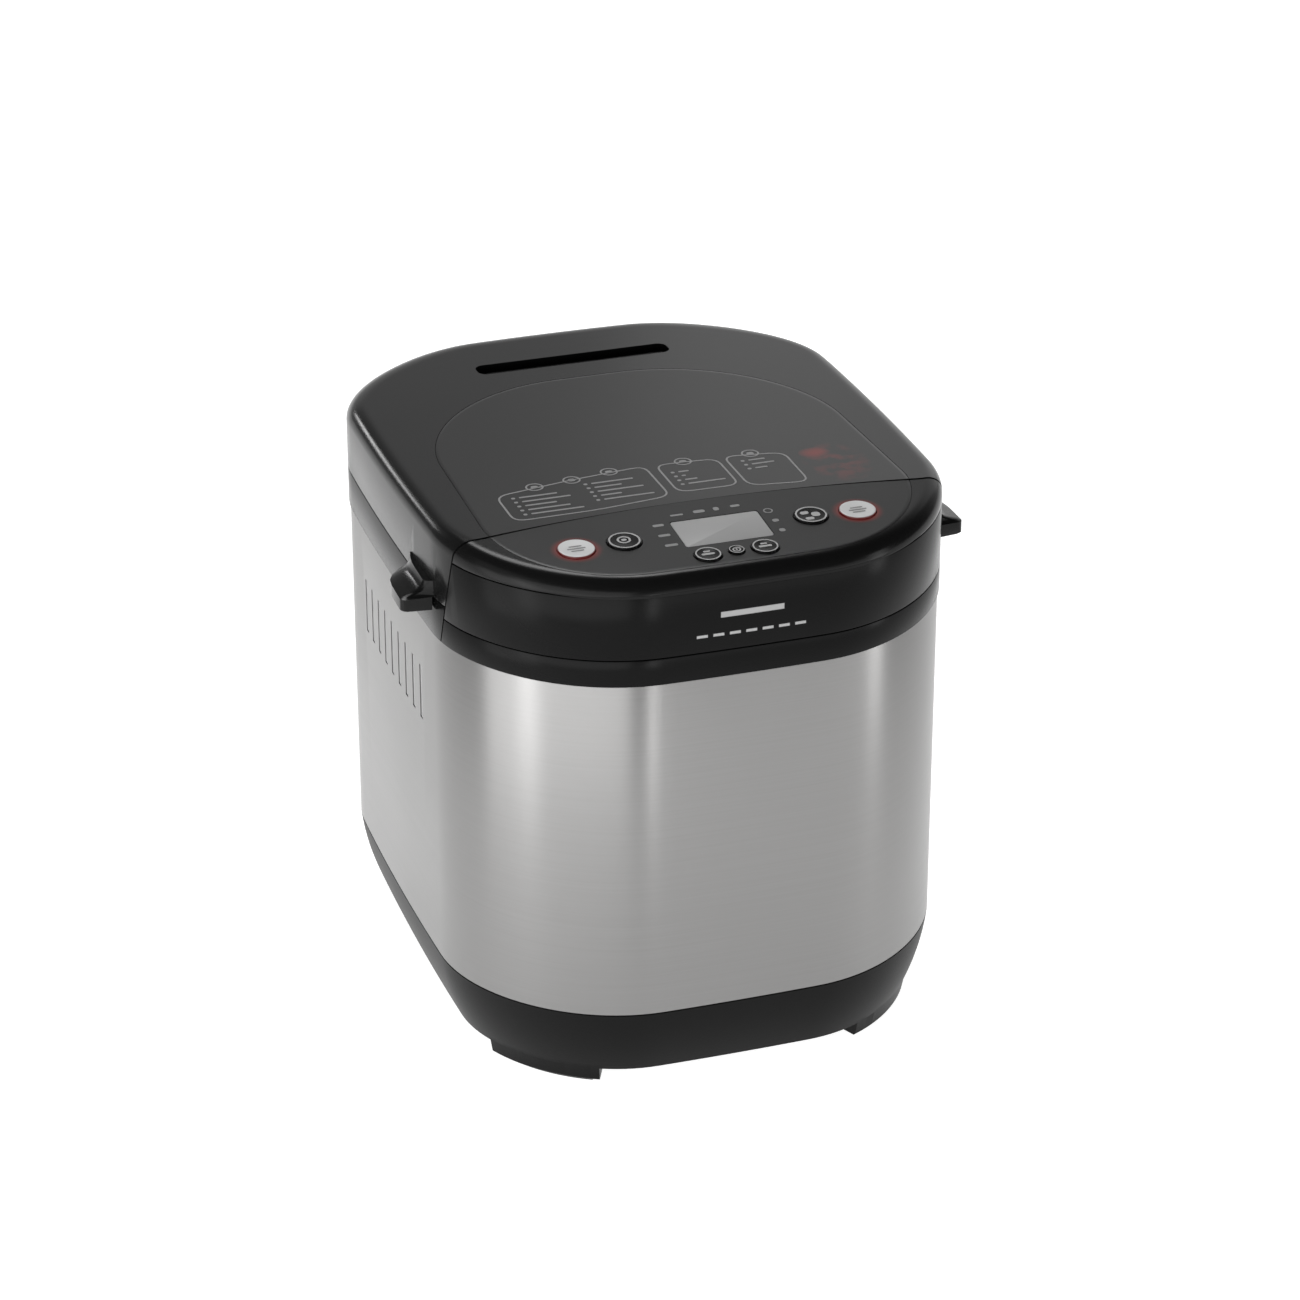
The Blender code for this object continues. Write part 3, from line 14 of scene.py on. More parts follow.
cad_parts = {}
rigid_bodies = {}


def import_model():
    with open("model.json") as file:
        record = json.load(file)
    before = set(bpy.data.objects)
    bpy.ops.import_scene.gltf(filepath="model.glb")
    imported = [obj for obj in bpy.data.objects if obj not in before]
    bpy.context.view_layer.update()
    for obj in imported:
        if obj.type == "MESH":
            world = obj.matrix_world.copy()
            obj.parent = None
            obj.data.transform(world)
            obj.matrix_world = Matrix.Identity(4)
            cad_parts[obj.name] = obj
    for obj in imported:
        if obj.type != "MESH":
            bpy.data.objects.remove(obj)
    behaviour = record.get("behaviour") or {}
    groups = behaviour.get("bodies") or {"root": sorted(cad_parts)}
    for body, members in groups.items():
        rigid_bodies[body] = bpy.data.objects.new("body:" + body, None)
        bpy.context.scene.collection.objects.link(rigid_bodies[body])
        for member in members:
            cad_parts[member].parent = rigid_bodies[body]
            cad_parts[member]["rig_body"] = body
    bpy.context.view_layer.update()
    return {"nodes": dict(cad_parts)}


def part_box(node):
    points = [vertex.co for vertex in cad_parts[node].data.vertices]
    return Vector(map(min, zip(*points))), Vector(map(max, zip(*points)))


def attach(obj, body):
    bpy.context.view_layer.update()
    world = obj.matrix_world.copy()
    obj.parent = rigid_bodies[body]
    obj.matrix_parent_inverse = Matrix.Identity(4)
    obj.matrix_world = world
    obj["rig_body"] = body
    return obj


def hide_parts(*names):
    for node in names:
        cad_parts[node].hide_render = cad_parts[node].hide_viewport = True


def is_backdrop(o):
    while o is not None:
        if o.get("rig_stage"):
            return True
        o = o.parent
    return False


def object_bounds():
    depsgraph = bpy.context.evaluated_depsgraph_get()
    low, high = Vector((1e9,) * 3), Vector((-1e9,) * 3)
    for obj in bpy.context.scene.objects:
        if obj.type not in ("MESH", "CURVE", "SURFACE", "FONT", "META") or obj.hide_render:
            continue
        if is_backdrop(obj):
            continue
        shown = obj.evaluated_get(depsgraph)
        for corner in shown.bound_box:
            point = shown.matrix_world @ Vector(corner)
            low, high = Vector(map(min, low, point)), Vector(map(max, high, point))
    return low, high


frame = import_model()
MM = 0.001

# %% [markdown]
# ## The camera, the floor and the light
# The camera stands to the left of the machine and looks down on it, through a long lens that keeps
# the sides nearly parallel. It comes first, so that every later step can be looked at.

# %% Camera
def add_object(name, data):
    made = bpy.data.objects.new(name, data)
    bpy.context.scene.collection.objects.link(made)
    return made


camera = add_object("camera", bpy.data.cameras.new("camera"))
CAMERA_AT = Vector((-0.5760, -1.7489, 1.0592))
LOOKS_AT = Vector((0.0190, 0.0378, 0.1318))
LENS, SENSOR = 118.03, 36  # a long lens on a full-frame sensor, in millimetres
camera.location = CAMERA_AT
camera.rotation_euler = (LOOKS_AT - CAMERA_AT).to_track_quat("-Z", "Y").to_euler()
camera.data.lens, camera.data.sensor_width = LENS, SENSOR
bpy.context.scene.camera = camera
bpy.context.scene.view_settings.view_transform = "Standard"
print("camera", round((LOOKS_AT - CAMERA_AT).length, 2), "m away")


# %% [markdown]
# ## Shader maths
# A finish is a sum of small patterns. One class wraps a shader value, so that a pattern is written
# as a Python expression, and every other node comes from a single method.

# %% Shader values and nodes
class Value:
    """A number that changes over a surface, and can be used in Python expressions."""

    def __init__(self, finish, socket):
        self.finish = finish
        self.socket = socket

    def maths(self, operation, *others, clamp=False):
        settings = {"operation": operation, "use_clamp": clamp}
        values = dict(enumerate((self, *others)))
        return self.finish.node("ShaderNodeMath", settings, values)

    def __add__(self, other):
        return self.maths("ADD", other)

    def __sub__(self, other):
        return self.maths("SUBTRACT", other)

    def __rsub__(self, other):
        return (self * -1) + other

    def __mul__(self, other):
        return self.maths("MULTIPLY", other)

    def __truediv__(self, other):
        return self.maths("DIVIDE", other)

    __radd__ = __add__
    __rmul__ = __mul__

    def clamped(self):
        return self.maths("ADD", 0, clamp=True)

    def size(self):
        return self.maths("ABSOLUTE")

    def root(self):
        return self.maths("SQRT")


class Finish:
    """A node tree with one Principled shader, or a world's."""

    def __init__(self, name, tree=None):
        self.material = None
        if tree is None:
            self.material = bpy.data.materials.new(name)
            self.material.use_nodes = True
            tree = self.material.node_tree
            self.shader = tree.nodes["Principled BSDF"]
        self.tree = tree

    def node(self, kind, settings=None, values=None, output=0):
        made = self.tree.nodes.new(kind)
        for key, setting in (settings or {}).items():
            setattr(made, key, setting)
        for key, value in (values or {}).items():
            self.give(made.inputs[key], value)
        return Value(self, made.outputs[output])

    def give(self, socket, value):
        if isinstance(value, Value):
            self.tree.links.new(value.socket, socket)
        else:
            socket.default_value = value

    def place(self, stretch=(1, 1, 1)):
        """The point on the piece, stretched along its axes."""
        here = self.node("ShaderNodeTexCoord", output="Object")
        settings = {"operation": "MULTIPLY"}
        return self.node("ShaderNodeVectorMath", settings, {0: here, 1: stretch})

    def axes(self):
        """The point's x, y and z, as three values in metres."""
        split = self.node("ShaderNodeSeparateXYZ", values={0: self.place()})
        outputs = split.socket.node.outputs
        return [Value(self, outputs[i]) for i in range(3)]

    def noise(self, scale, detail=2.0, stretch=(1, 1, 1)):
        values = {"Vector": self.place(stretch), "Scale": scale, "Detail": detail}
        return self.node("ShaderNodeTexNoise", values=values)

    def mix(self, share, first, second):
        settings = {"data_type": "RGBA"}
        values = {"Factor": share, 6: first, 7: second}
        return self.node("ShaderNodeMix", settings, values, output=2)

    def bump(self, height, distance, strength=1.0):
        values = {"Height": height, "Distance": distance, "Strength": strength}
        self.set(Normal=self.node("ShaderNodeBump", values=values))

    def set(self, **values):
        for key, value in values.items():
            self.give(self.shader.inputs[key.replace("_", " ")], value)
        return self


def grey(level, warmth=0.0):
    return (level * (1 + warmth), level, level * (1 - warmth), 1)


print("shader maths ready")

# %% [markdown]
# The studio is a pale floor that glows softly, under large lamps. Glossy black plastic shows only
# what it mirrors, so the sky is dark overhead and on the camera's side, and brighter behind. Tall
# narrow lamps stand round the machine, and each draws one upright streak on the brushed steel.


# %% Floor, sky and lamps
FLOOR_HALF, FLOOR_TONE, FLOOR_GLOW = 9.0, 0.5, 0.95
AIM_HEIGHT = 0.13  # every lamp faces the middle of the machine


def build_floor():
    mesh = bpy.data.meshes.new("floor")
    half = FLOOR_HALF
    corners = [(-half, -half, 0), (half, -half, 0), (half, half, 0), (-half, half, 0)]
    mesh.from_pydata(corners, [], [(0, 1, 2, 3)])
    floor = add_object("floor", mesh)
    finish = Finish("floor_white")
    finish.set(Base_Color=grey(FLOOR_TONE), Roughness=1.0, Specular_IOR_Level=0.0)
    finish.set(Emission_Color=grey(1.0), Emission_Strength=FLOOR_GLOW)
    mesh.materials.append(finish.material)
    floor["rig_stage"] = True


def build_sky():
    """Dark overhead and in front, and brighter behind the machine, most of all on the right."""
    world = bpy.data.worlds.new("studio")
    world.use_nodes = True
    bpy.context.scene.world = world
    sky = Finish("studio", world.node_tree)
    heading = sky.node("ShaderNodeTexCoord", output="Generated")
    split = sky.node("ShaderNodeSeparateXYZ", values={0: heading}).socket.node.outputs
    x, y, z = (Value(sky, socket) for socket in split)
    behind = (y * 1.3 - 0.3).clamped()
    low = 1 - (z * 1.5 - 0.35).clamped()
    right = (x * 1.2 + 0.3).clamped()
    level = behind * low * (right * 0.8 + 0.25) + 0.05
    background = world.node_tree.nodes["Background"]
    sky.give(background.inputs["Strength"], level)
    background.inputs["Color"].default_value = grey(1.0)


def build_lamp(name, heading, distance, height, size, power):
    """A rectangular lamp that faces the machine. Its heading is in degrees, from +X towards +Y."""
    lamp = add_object(name, bpy.data.lights.new(name, "AREA"))
    lamp.data.shape = "RECTANGLE"
    lamp.data.size, lamp.data.size_y = size
    lamp.data.energy = power
    turn = radians(heading)
    lamp.location = (distance * cos(turn), distance * sin(turn), height)
    aim = Vector((0, 0, AIM_HEIGHT)) - lamp.location
    lamp.rotation_euler = aim.to_track_quat("-Z", "Y").to_euler()


build_floor()
build_sky()
LAMPS = {  # name: (heading, distance, height, (width, height), power)
    "left_bank": (192, 1.3, 0.6, (0.8, 0.9), 1.5),
    "left_low": (200, 0.6, 0.17, (0.3, 0.3), 0.55),
    "left_corner": (231, 0.68, 0.26, (0.75, 0.42), 2.2),
    "front_strip": (-88, 0.9, 0.14, (0.06, 0.26), 0.35),
    "front_bank": (-62, 1.5, 0.28, (1.3, 0.5), 2.6),
    "right_strip": (-34, 1.2, 0.3, (0.2, 0.6), 1.4),
    "back_right": (50, 1.1, 0.65, (0.9, 0.7), 1.0),
    "shoulder_line": (115, 1.4, 0.6, (0.3, 0.12), 1.6),
    "top": (85, 0.95, 1.7, (0.9, 0.6), 17),
}
for name, setting in LAMPS.items():
    build_lamp(name, *setting)
print("floor, sky and", len(LAMPS), "lamps")

# %% [markdown]
# ## Outlines
# From above the machine is a rounded box whose sides bow out. Each moulding follows that one
# outline, moved inwards by its own distance, so a single function keeps them all in step.

# %% Outlines
WIDTH, DEPTH = 245 * MM, 308 * MM
FRONT_CORNER_R, BACK_CORNER_R = 79.4 * MM, 77.6 * MM
FRONT_BULGE, SIDE_BULGE, BACK_BULGE = 4.6 * MM, 5.5 * MM, 7.4 * MM
CORNER_STEPS, SIDE_STEPS = 28, 12


def arc(x, y, radius, start, end, steps):
    turns = [start + (end - start) * i / steps for i in range(steps + 1)]
    return [Vector((x + radius * cos(t), y + radius * sin(t))) for t in turns]


def rounded_box(half_x, y_low, y_high, front_r, back_r, corner_steps=12, side_steps=1):
    corners = [
        arc(half_x - front_r, y_low + front_r, front_r, -pi / 2, 0, corner_steps),
        arc(half_x - back_r, y_high - back_r, back_r, 0, pi / 2, corner_steps),
        arc(-half_x + back_r, y_high - back_r, back_r, pi / 2, pi, corner_steps),
        arc(-half_x + front_r, y_low + front_r, front_r, pi, 1.5 * pi, corner_steps),
    ]
    points = []
    for corner, following in zip(corners, corners[1:] + corners[:1]):
        points += corner
        start, end = corner[-1], following[0]
        points += [start.lerp(end, i / side_steps) for i in range(1, side_steps)]
    return points


def inset(points, distance):
    moved = []
    for before, here, after in zip(
        points[-1:] + points[:-1], points, points[1:] + points[:1]
    ):
        along = (after - before).normalized()
        moved.append(here + Vector((-along.y, along.x)) * distance)
    return moved


def body_outline(distance=0.0):
    half_x = WIDTH / 2 - SIDE_BULGE
    y_low, y_high = -DEPTH / 2 + FRONT_BULGE, DEPTH / 2 - BACK_BULGE
    middle, half_y = (y_low + y_high) / 2, (y_high - y_low) / 2
    points = []
    for point in rounded_box(
        half_x, y_low, y_high, FRONT_CORNER_R, BACK_CORNER_R, CORNER_STEPS, SIDE_STEPS
    ):
        across, along = point.x / half_x, (point.y - middle) / half_y
        bow = BACK_BULGE * max(along, 0) + FRONT_BULGE * min(along, 0)
        x = point.x + SIDE_BULGE * (1 - along**2) * across
        points.append(Vector((x, point.y + bow * (1 - across**2))))
    return inset(points, distance)


def circle(x, y, radius, steps=48):
    return arc(x, y, radius, 0, 2 * pi * (steps - 1) / steps, steps - 1)


print(len(body_outline()), "points round the outline")

# %% [markdown]
# ## Making and carving solids
# Moulded shells could be pushed and pulled by hand, but a loft keeps them tied to the outline: it
# joins rings of points into a closed skin. Carving runs one Boolean and keeps its result as a plain
# mesh, so that no live modifier is left on a finished piece.

# %% Lofts and Booleans
OVER = 20 * MM  # how far a cutter reaches past what it cuts


def at_level(points, z):
    return [Vector((p.x, p.y, z)) for p in points]


def loft(rings, capped=True):
    """A skin over the rings: closed at both ends, or joined from the last ring to the first."""
    mesh = bmesh.new()
    rows = [[mesh.verts.new(point) for point in ring] for ring in rings]
    pairs = list(zip(rows, rows[1:])) if capped else list(zip(rows, rows[1:] + rows[:1]))
    for low, high in pairs:
        for i, corner in enumerate(low):
            j = (i + 1) % len(low)
            mesh.faces.new((corner, low[j], high[j], high[i]))
    if capped:
        mesh.faces.new(list(reversed(rows[0])))
        mesh.faces.new(rows[-1])
    return mesh


def stacked(outline, rows, capped=True):
    """A loft through insets of one outline, from rows of inset and height."""
    return loft([at_level(outline(distance), z) for distance, z in rows], capped)


def prism(points, z_low, z_high):
    return loft([at_level(points, z_low), at_level(points, z_high)])


def block(low, high):
    corners = [(low[0], low[1]), (high[0], low[1]), (high[0], high[1]), (low[0], high[1])]
    return prism([Vector(c) for c in corners], low[2], high[2])


def turned(profile, x=0.0, y=0.0, steps=48):
    """A solid turned on an upright axis at x, y, from rows of radius and height."""
    return loft([at_level(circle(x, y, radius, steps), z) for radius, z in profile])


def joined(*meshes):
    """One mesh that holds them all, each with its faces outwards."""
    whole = bmesh.new()
    for mesh in meshes:
        data = bpy.data.meshes.new("piece")
        bmesh.ops.recalc_face_normals(mesh, faces=mesh.faces[:])
        mesh.to_mesh(data)
        mesh.free()
        whole.from_mesh(data)
        bpy.data.meshes.remove(data)
    return whole


def new_object(name, mesh, turn=None):
    """An object at the origin whose place is in its mesh."""
    if turn is not None:
        mesh.transform(turn)
    bmesh.ops.recalc_face_normals(mesh, faces=mesh.faces[:])
    data = bpy.data.meshes.new(name)
    mesh.to_mesh(data)
    mesh.free()
    return add_object(name, data)


def settle(piece):
    """Keeps what the modifiers make, and removes them."""
    bpy.context.view_layer.update()
    graph = bpy.context.evaluated_depsgraph_get()
    baked = bpy.data.meshes.new_from_object(piece.evaluated_get(graph))
    piece.modifiers.clear()
    piece.data = baked
    return piece


def carve(piece, tool, operation="DIFFERENCE", solver="EXACT", turn=None):
    """One Boolean with a mesh or an object, which it uses up."""
    if not isinstance(tool, bpy.types.Object):
        tool = new_object("tool", tool, turn)
    step = piece.modifiers.new("carve", "BOOLEAN")
    step.operation, step.object, step.solver = operation, tool, solver
    settle(piece)
    bpy.data.objects.remove(tool)
    return piece


def soften(piece, width, segments=2, angle=50):
    """Rounds every sharp edge a little, as a mould does."""
    step = piece.modifiers.new("soften", "BEVEL")
    step.width, step.segments = width, segments
    step.limit_method, step.angle_limit = "ANGLE", radians(angle)
    return settle(piece)


def paint_node(name, finish):
    """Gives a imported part, whose shape is kept as it is, a finish."""
    materials = frame["nodes"][name].data.materials
    materials.clear()
    materials.append(finish.material)


def complete(piece, finish, body, replaces=(), angle=32):
    """Shades the piece, gives it its finish and hangs it on its body."""
    piece.data.shade_smooth()
    piece.data.set_sharp_from_angle(angle=radians(angle))
    piece.data.materials.clear()
    piece.data.materials.append(finish.material)
    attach(piece, body)
    if replaces:
        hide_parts(*replaces)
    print(f"{piece.name}: {len(piece.data.polygons)} faces on {body}")
    return piece


print("tools for lofts and Booleans ready")

# %% [markdown]
# ## Finishes
# Moulded plastic is never one flat colour: its gloss wanders a little and a fine grain breaks the
# highlights. An image could show that, but noise has no edges and no seams. The same recipe gives
# the shiny lid and the duller base, with other numbers.


# %% Plastics and rubber
GLOSS_GRAIN, GLOSS_RELIEF = 1400, 0.000003  # too fine to see, but it breaks up a highlight


def plastic(name, level, roughness, grain=900, relief=0.00003, specular=0.5):
    made = Finish(name)
    cloud = made.noise(14, 3)
    fine = made.noise(grain, 2)
    made.set(
        Base_Color=made.mix(cloud, grey(level * 0.85), grey(level * 1.2)),
        Roughness=cloud * 0.08 + (fine * 0.06 + (roughness - 0.07)),
        Specular_IOR_Level=specular,
    )
    made.bump(fine, relief)
    return made


def fascia_plastic(name):
    return plastic(name, 0.003, 0.22, GLOSS_GRAIN, GLOSS_RELIEF, 0.09)


GLOSS = plastic("lid_black", 0.006, 0.22, GLOSS_GRAIN, GLOSS_RELIEF, 0.14)
FASCIA = fascia_plastic("fascia_black")
SATIN = plastic("base_black", 0.006, 0.4, 1000, 0.00004, 0.09)
RUBBER = plastic("foot_rubber", 0.012, 0.8, 500, 0.0001, 0.3)
GREY_PLASTIC = plastic("grey_plastic", 0.3, 0.5)
PALE_PLASTIC = plastic("pale_plastic", 0.33, 0.55)
PRINT_GREY = plastic("print_grey", 0.3, 0.5, GLOSS_GRAIN, 0.00001, 0.2)
PRINT_PALE = plastic("print_pale", 0.5, 0.45, GLOSS_GRAIN, 0.00001, 0.2)
print(len(bpy.data.materials), "materials with the plastics")

# %% [markdown]
# Brushed steel has fine scratches that all run level round the body. They are a noise that is
# stretched sideways and squeezed upwards. The scratches spread a highlight up and down, which is
# what the anisotropy setting does.


# %% Metals
def brushed(name, level, roughness, warmth=0.01):
    made = Finish(name)
    lines = made.noise(1.0, 4, stretch=(14, 14, 5200))
    broad = made.noise(1.0, 3, stretch=(5, 5, 700))
    cloud = made.noise(9, 2)
    shade = lines * 0.6 + broad * 0.4
    made.set(
        Base_Color=made.mix(shade, grey(level * 0.88, warmth), grey(level * 1.1, warmth)),
        Metallic=1.0,
        Roughness=shade * 0.14 + (cloud * 0.06 + (roughness - 0.1)),
        Anisotropic=0.8,
        Anisotropic_Rotation=0.25,
    )
    made.bump(lines, 0.00001, 0.6)
    return made


def bare_metal(name, level, roughness, warmth=0.0, spangle=0.0, colour=None):
    made = Finish(name)
    cloud = made.noise(60, 4)
    fine = made.noise(1500, 2)
    pattern = cloud
    if spangle:
        flakes = {"Vector": made.place(), "Scale": spangle}
        cell = made.node("ShaderNodeTexVoronoi", values=flakes, output="Color")
        cell = made.node("ShaderNodeSeparateColor", values={0: cell})
        pattern = cloud * 0.5 + cell * 0.5
    dark = colour or grey(level, warmth)
    bright = tuple(min(c * 1.25, 1) for c in dark[:3]) + (1,)
    dark = tuple(c * 0.8 for c in dark[:3]) + (1,)
    made.set(
        Base_Color=made.mix(pattern, dark, bright),
        Metallic=1.0,
        Roughness=pattern * 0.16 + (roughness - 0.08),
    )
    made.bump(fine, 0.00002, 0.5)
    return made


STEEL = brushed("brushed_steel", 0.27, 0.34)
SHEET = bare_metal("coated_sheet", 0.5, 0.42, spangle=260)
CAST = bare_metal("cast_aluminium", 0.6, 0.4)
ROD = bare_metal("bright_rod", 0.62, 0.24)
BRONZE = bare_metal("sintered_bronze", 0, 0.4, colour=(0.5, 0.33, 0.14, 1))
HEATER = bare_metal("heater_sheath", 0.22, 0.42, warmth=0.05)
print(len(bpy.data.materials), "materials with the metals")

# %% [markdown]
# The pan and the paddle wear a dark non-stick coat with pale specks sunk in its gloss. A cell
# pattern gives the distance to the nearest speck, and a mask keeps only its middle. The boards are
# green with brighter tracks, and the display is plain grey with a gradient of painted light.


# %% Non-stick coat, boards and display
def speckled(name):
    made = Finish(name)
    specks = {"Vector": made.place(), "Scale": 1100.0, "Randomness": 1.0}
    distance = made.node("ShaderNodeTexVoronoi", values=specks)
    fleck = ((0.16 - distance) * 14).clamped()
    cloud = made.noise(20, 3)
    coat = made.mix(cloud, grey(0.035), grey(0.06))
    made.set(
        Base_Color=made.mix(fleck * 0.7, coat, grey(0.3)),
        Roughness=cloud * 0.1 + 0.28,
        Metallic=0.2,
    )
    made.bump(made.noise(500, 2), 0.00003, 0.6)
    return made


def board(name):
    made = Finish(name)
    tracks = made.noise(160, 1, stretch=(1, 4, 1))
    lines = ((tracks - 0.52).size() * -60 + 1).clamped()
    made.set(
        Base_Color=made.mix(lines, (0.01, 0.09, 0.03, 1), (0.05, 0.25, 0.09, 1)),
        Roughness=lines * 0.1 + 0.4,
    )
    return made


def display(name):
    """A display that is switched on but blank: pale grey, with painted light that makes it a little
    brighter to the right.
    """
    made = Finish(name)
    x, y, _ = made.axes()
    # painted light: a gradient that makes the display brighter towards the right and the back
    slope = (x * 6.0 + y * 3.0 + 0.75).clamped()
    grain = made.noise(2500, 1)
    made.set(
        Base_Color=made.mix(slope, grey(0.34), grey(0.5)),
        Roughness=grain * 0.1 + 0.4,
        Specular_IOR_Level=0.3,
    )
    return made


COAT = speckled("non_stick_coat")
BOARD = board("circuit_board")
DISPLAY = display("display_grey")
print(len(bpy.data.materials), "finishes")

# %% [markdown]
# ## Base
# The tray tucks under in a soft curve and stands on four feet moulded with it. A bevelled box would
# tuck in evenly, but this one starts almost straight, so its inset is a formula of its height.
# Each foot follows the outline's own corner, so it is lofted from a stretch of the same curve.

# %% Base with its feet
GAP = 0.3 * MM
PLASTIC = 2.5 * MM
steel_low, steel_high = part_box("steel_wrap")
BASE_Z = 8.3 * MM
STEEL_Z, STEEL_TOP = steel_low.z, steel_high.z + GAP
BASE_H = STEEL_Z - BASE_Z
STEEL_INSET = 0.8 * MM
BASE_TUCK = 10.7 * MM
FOOT_WIDTH = 15 * MM
POINTS_PER_CORNER = CORNER_STEPS + SIDE_STEPS


def base_inset(z):
    down = max((STEEL_Z - z) / BASE_H, 0)
    return STEEL_INSET + (BASE_TUCK - STEEL_INSET) * (0.35 * down + 0.65 * down**2)


def base_shell():
    edge, lip = 1.2 * MM, 0.4 * MM
    levels = [BASE_Z + edge + (BASE_H - GAP - edge) * i / 11 for i in range(12)]
    top = levels[-1]
    rows = [(BASE_TUCK + 1.6 * MM, BASE_Z)] + [(base_inset(z), z) for z in levels[:-1]]
    rows += [(base_inset(top), top - lip), (base_inset(top) + lip, top)]
    rows += [(base_inset(z) + PLASTIC, z) for z in levels[::-1]]
    return stacked(body_outline, rows + [(BASE_TUCK + PLASTIC, BASE_Z + PLASTIC)])


def foot_strip(corner, outer, inner, trim=0):
    """The middle half of one corner, between two insets of the outline."""
    first = corner * POINTS_PER_CORNER
    low, high = first + CORNER_STEPS // 4 + trim, first + 3 * CORNER_STEPS // 4 - trim
    far, near = body_outline(outer)[low : high + 1], body_outline(inner)[low : high + 1]
    return far + near[::-1]


def foot(corner):
    inner = BASE_TUCK + FOOT_WIDTH
    rows = [  # outer inset, inner inset, height
        (BASE_TUCK + 1.5 * MM, inner - 1 * MM, 2.3 * MM),
        (BASE_TUCK + 0.5 * MM, inner - 0.2 * MM, 3.2 * MM),
        (BASE_TUCK - 0.9 * MM, inner, BASE_Z + 2.2 * MM),
    ]
    return loft([at_level(foot_strip(corner, far, near), z) for far, near, z in rows])


base = new_object("base_shell", base_shell())
for corner in range(4):
    carve(base, foot(corner), "UNION")
complete(base, SATIN, "housing", ["base_tray"])

PAD_CORNERS = ("front_right", "back_right", "back_left", "front_left")
for corner, word in enumerate(PAD_CORNERS):
    outer, inner = BASE_TUCK + 4 * MM, BASE_TUCK + FOOT_WIDTH - 3.5 * MM
    rings = []
    for rounded, z in ((0.5, 0), (0, 0.5), (0, 2.0)):
        strip = foot_strip(corner, outer + rounded * MM, inner - rounded * MM, 1)
        rings.append(at_level(strip, z * MM))
    pad = new_object(f"pad_{word}", loft(rings))
    complete(pad, RUBBER, "housing", [f"foot_pad_{word}"])

# %% [markdown]
# ## Steel wrap
# One sheet of steel goes all the way round. Its ventilation slots repeat at a fixed pitch. An Array
# modifier would do for a straight row, but the louvres behind them follow the bowed side, so
# Geometry Nodes lay both out: a line of points, and the same block on every point.

# %% A node tree that repeats a block along a line
def repeat_tree(name):
    """Copies a block along a line. Bow moves each copy across by Bow times the square of its y."""
    tree = bpy.data.node_groups.new(name, "GeometryNodeTree")
    face = tree.interface
    face.new_socket("Geometry", in_out="INPUT", socket_type="NodeSocketGeometry")
    for label, kind in (
        ("Count", "NodeSocketInt"),
        ("Start", "NodeSocketVector"),
        ("Pitch", "NodeSocketVector"),
        ("Size", "NodeSocketVector"),
        ("Bow", "NodeSocketFloat"),
        ("Finish", "NodeSocketMaterial"),
    ):
        face.new_socket(label, in_out="INPUT", socket_type=kind)
    face.new_socket("Geometry", in_out="OUTPUT", socket_type="NodeSocketGeometry")

    def node(kind, sources=None, **settings):
        """A new node, each of whose named inputs is linked to a socket or a node's first output."""
        made = tree.nodes.new(kind)
        for key, setting in settings.items():
            setattr(made, key, setting)
        for key, source in (sources or {}).items():
            socket = getattr(source, "outputs", [source])[0]
            tree.links.new(socket, made.inputs[key])
        return made

    given = node("NodeGroupInput").outputs
    row = {"Count": given["Count"], "Start Location": given["Start"], "Offset": given["Pitch"]}
    line = node("GeometryNodeMeshLine", row, mode="OFFSET", count_mode="TOTAL")
    y = node("ShaderNodeSeparateXYZ", {0: node("GeometryNodeInputPosition")}).outputs["Y"]
    square = node("ShaderNodeMath", {0: y, 1: y}, operation="MULTIPLY")
    scaled = node("ShaderNodeMath", {0: square, 1: given["Bow"]}, operation="MULTIPLY")
    across = node("ShaderNodeCombineXYZ", {"X": scaled})
    bent = node("GeometryNodeSetPosition", {"Geometry": line, "Offset": across})
    shape = node("GeometryNodeMeshCube", {"Size": given["Size"]})
    copies = node("GeometryNodeInstanceOnPoints", {"Points": bent, "Instance": shape})
    real = node("GeometryNodeRealizeInstances", {"Geometry": copies})
    paint = node("GeometryNodeSetMaterial", {"Geometry": real, "Material": given["Finish"]})
    node("NodeGroupOutput", {"Geometry": paint})
    return tree


REPEAT = repeat_tree("repeat_along_line")
print("repeat tree:", len(REPEAT.nodes), "nodes")


def repeated(name, finish, **values):
    """The tree's result as a plain mesh object. Inputs are set by their sockets' identifiers."""
    made = add_object(name, bpy.data.meshes.new(name))
    step = made.modifiers.new("repeat", "NODES")
    step.node_group = REPEAT
    values["Finish"] = finish.material
    for socket in REPEAT.interface.items_tree:
        if socket.in_out == "INPUT" and socket.name in values:
            step[socket.identifier] = values[socket.name]
    return settle(made)


# %% The wrap and its slots
SHEET_T = 0.8 * MM
VENT_COUNT, VENT_PITCH = 9, 12.0 * MM
VENT_W, VENT_H = 3.8 * MM, 27.3 * MM
VENT_Y, VENT_Z = -0.5 * MM, 172.6 * MM
VENT_START = VENT_Y - VENT_PITCH * (VENT_COUNT - 1) / 2


def tube(outer, inner, z_low, z_high, edge):
    """A ring wall whose outer edges are rounded off by edge."""
    part = edge * 0.3
    rows = [
        (outer + edge, z_low), (outer + part, z_low + part), (outer, z_low + edge),
        (outer, z_high - edge), (outer + part, z_high - part), (outer + edge, z_high),
        (inner, z_high), (inner, z_low),
    ]
    return stacked(body_outline, rows, capped=False)


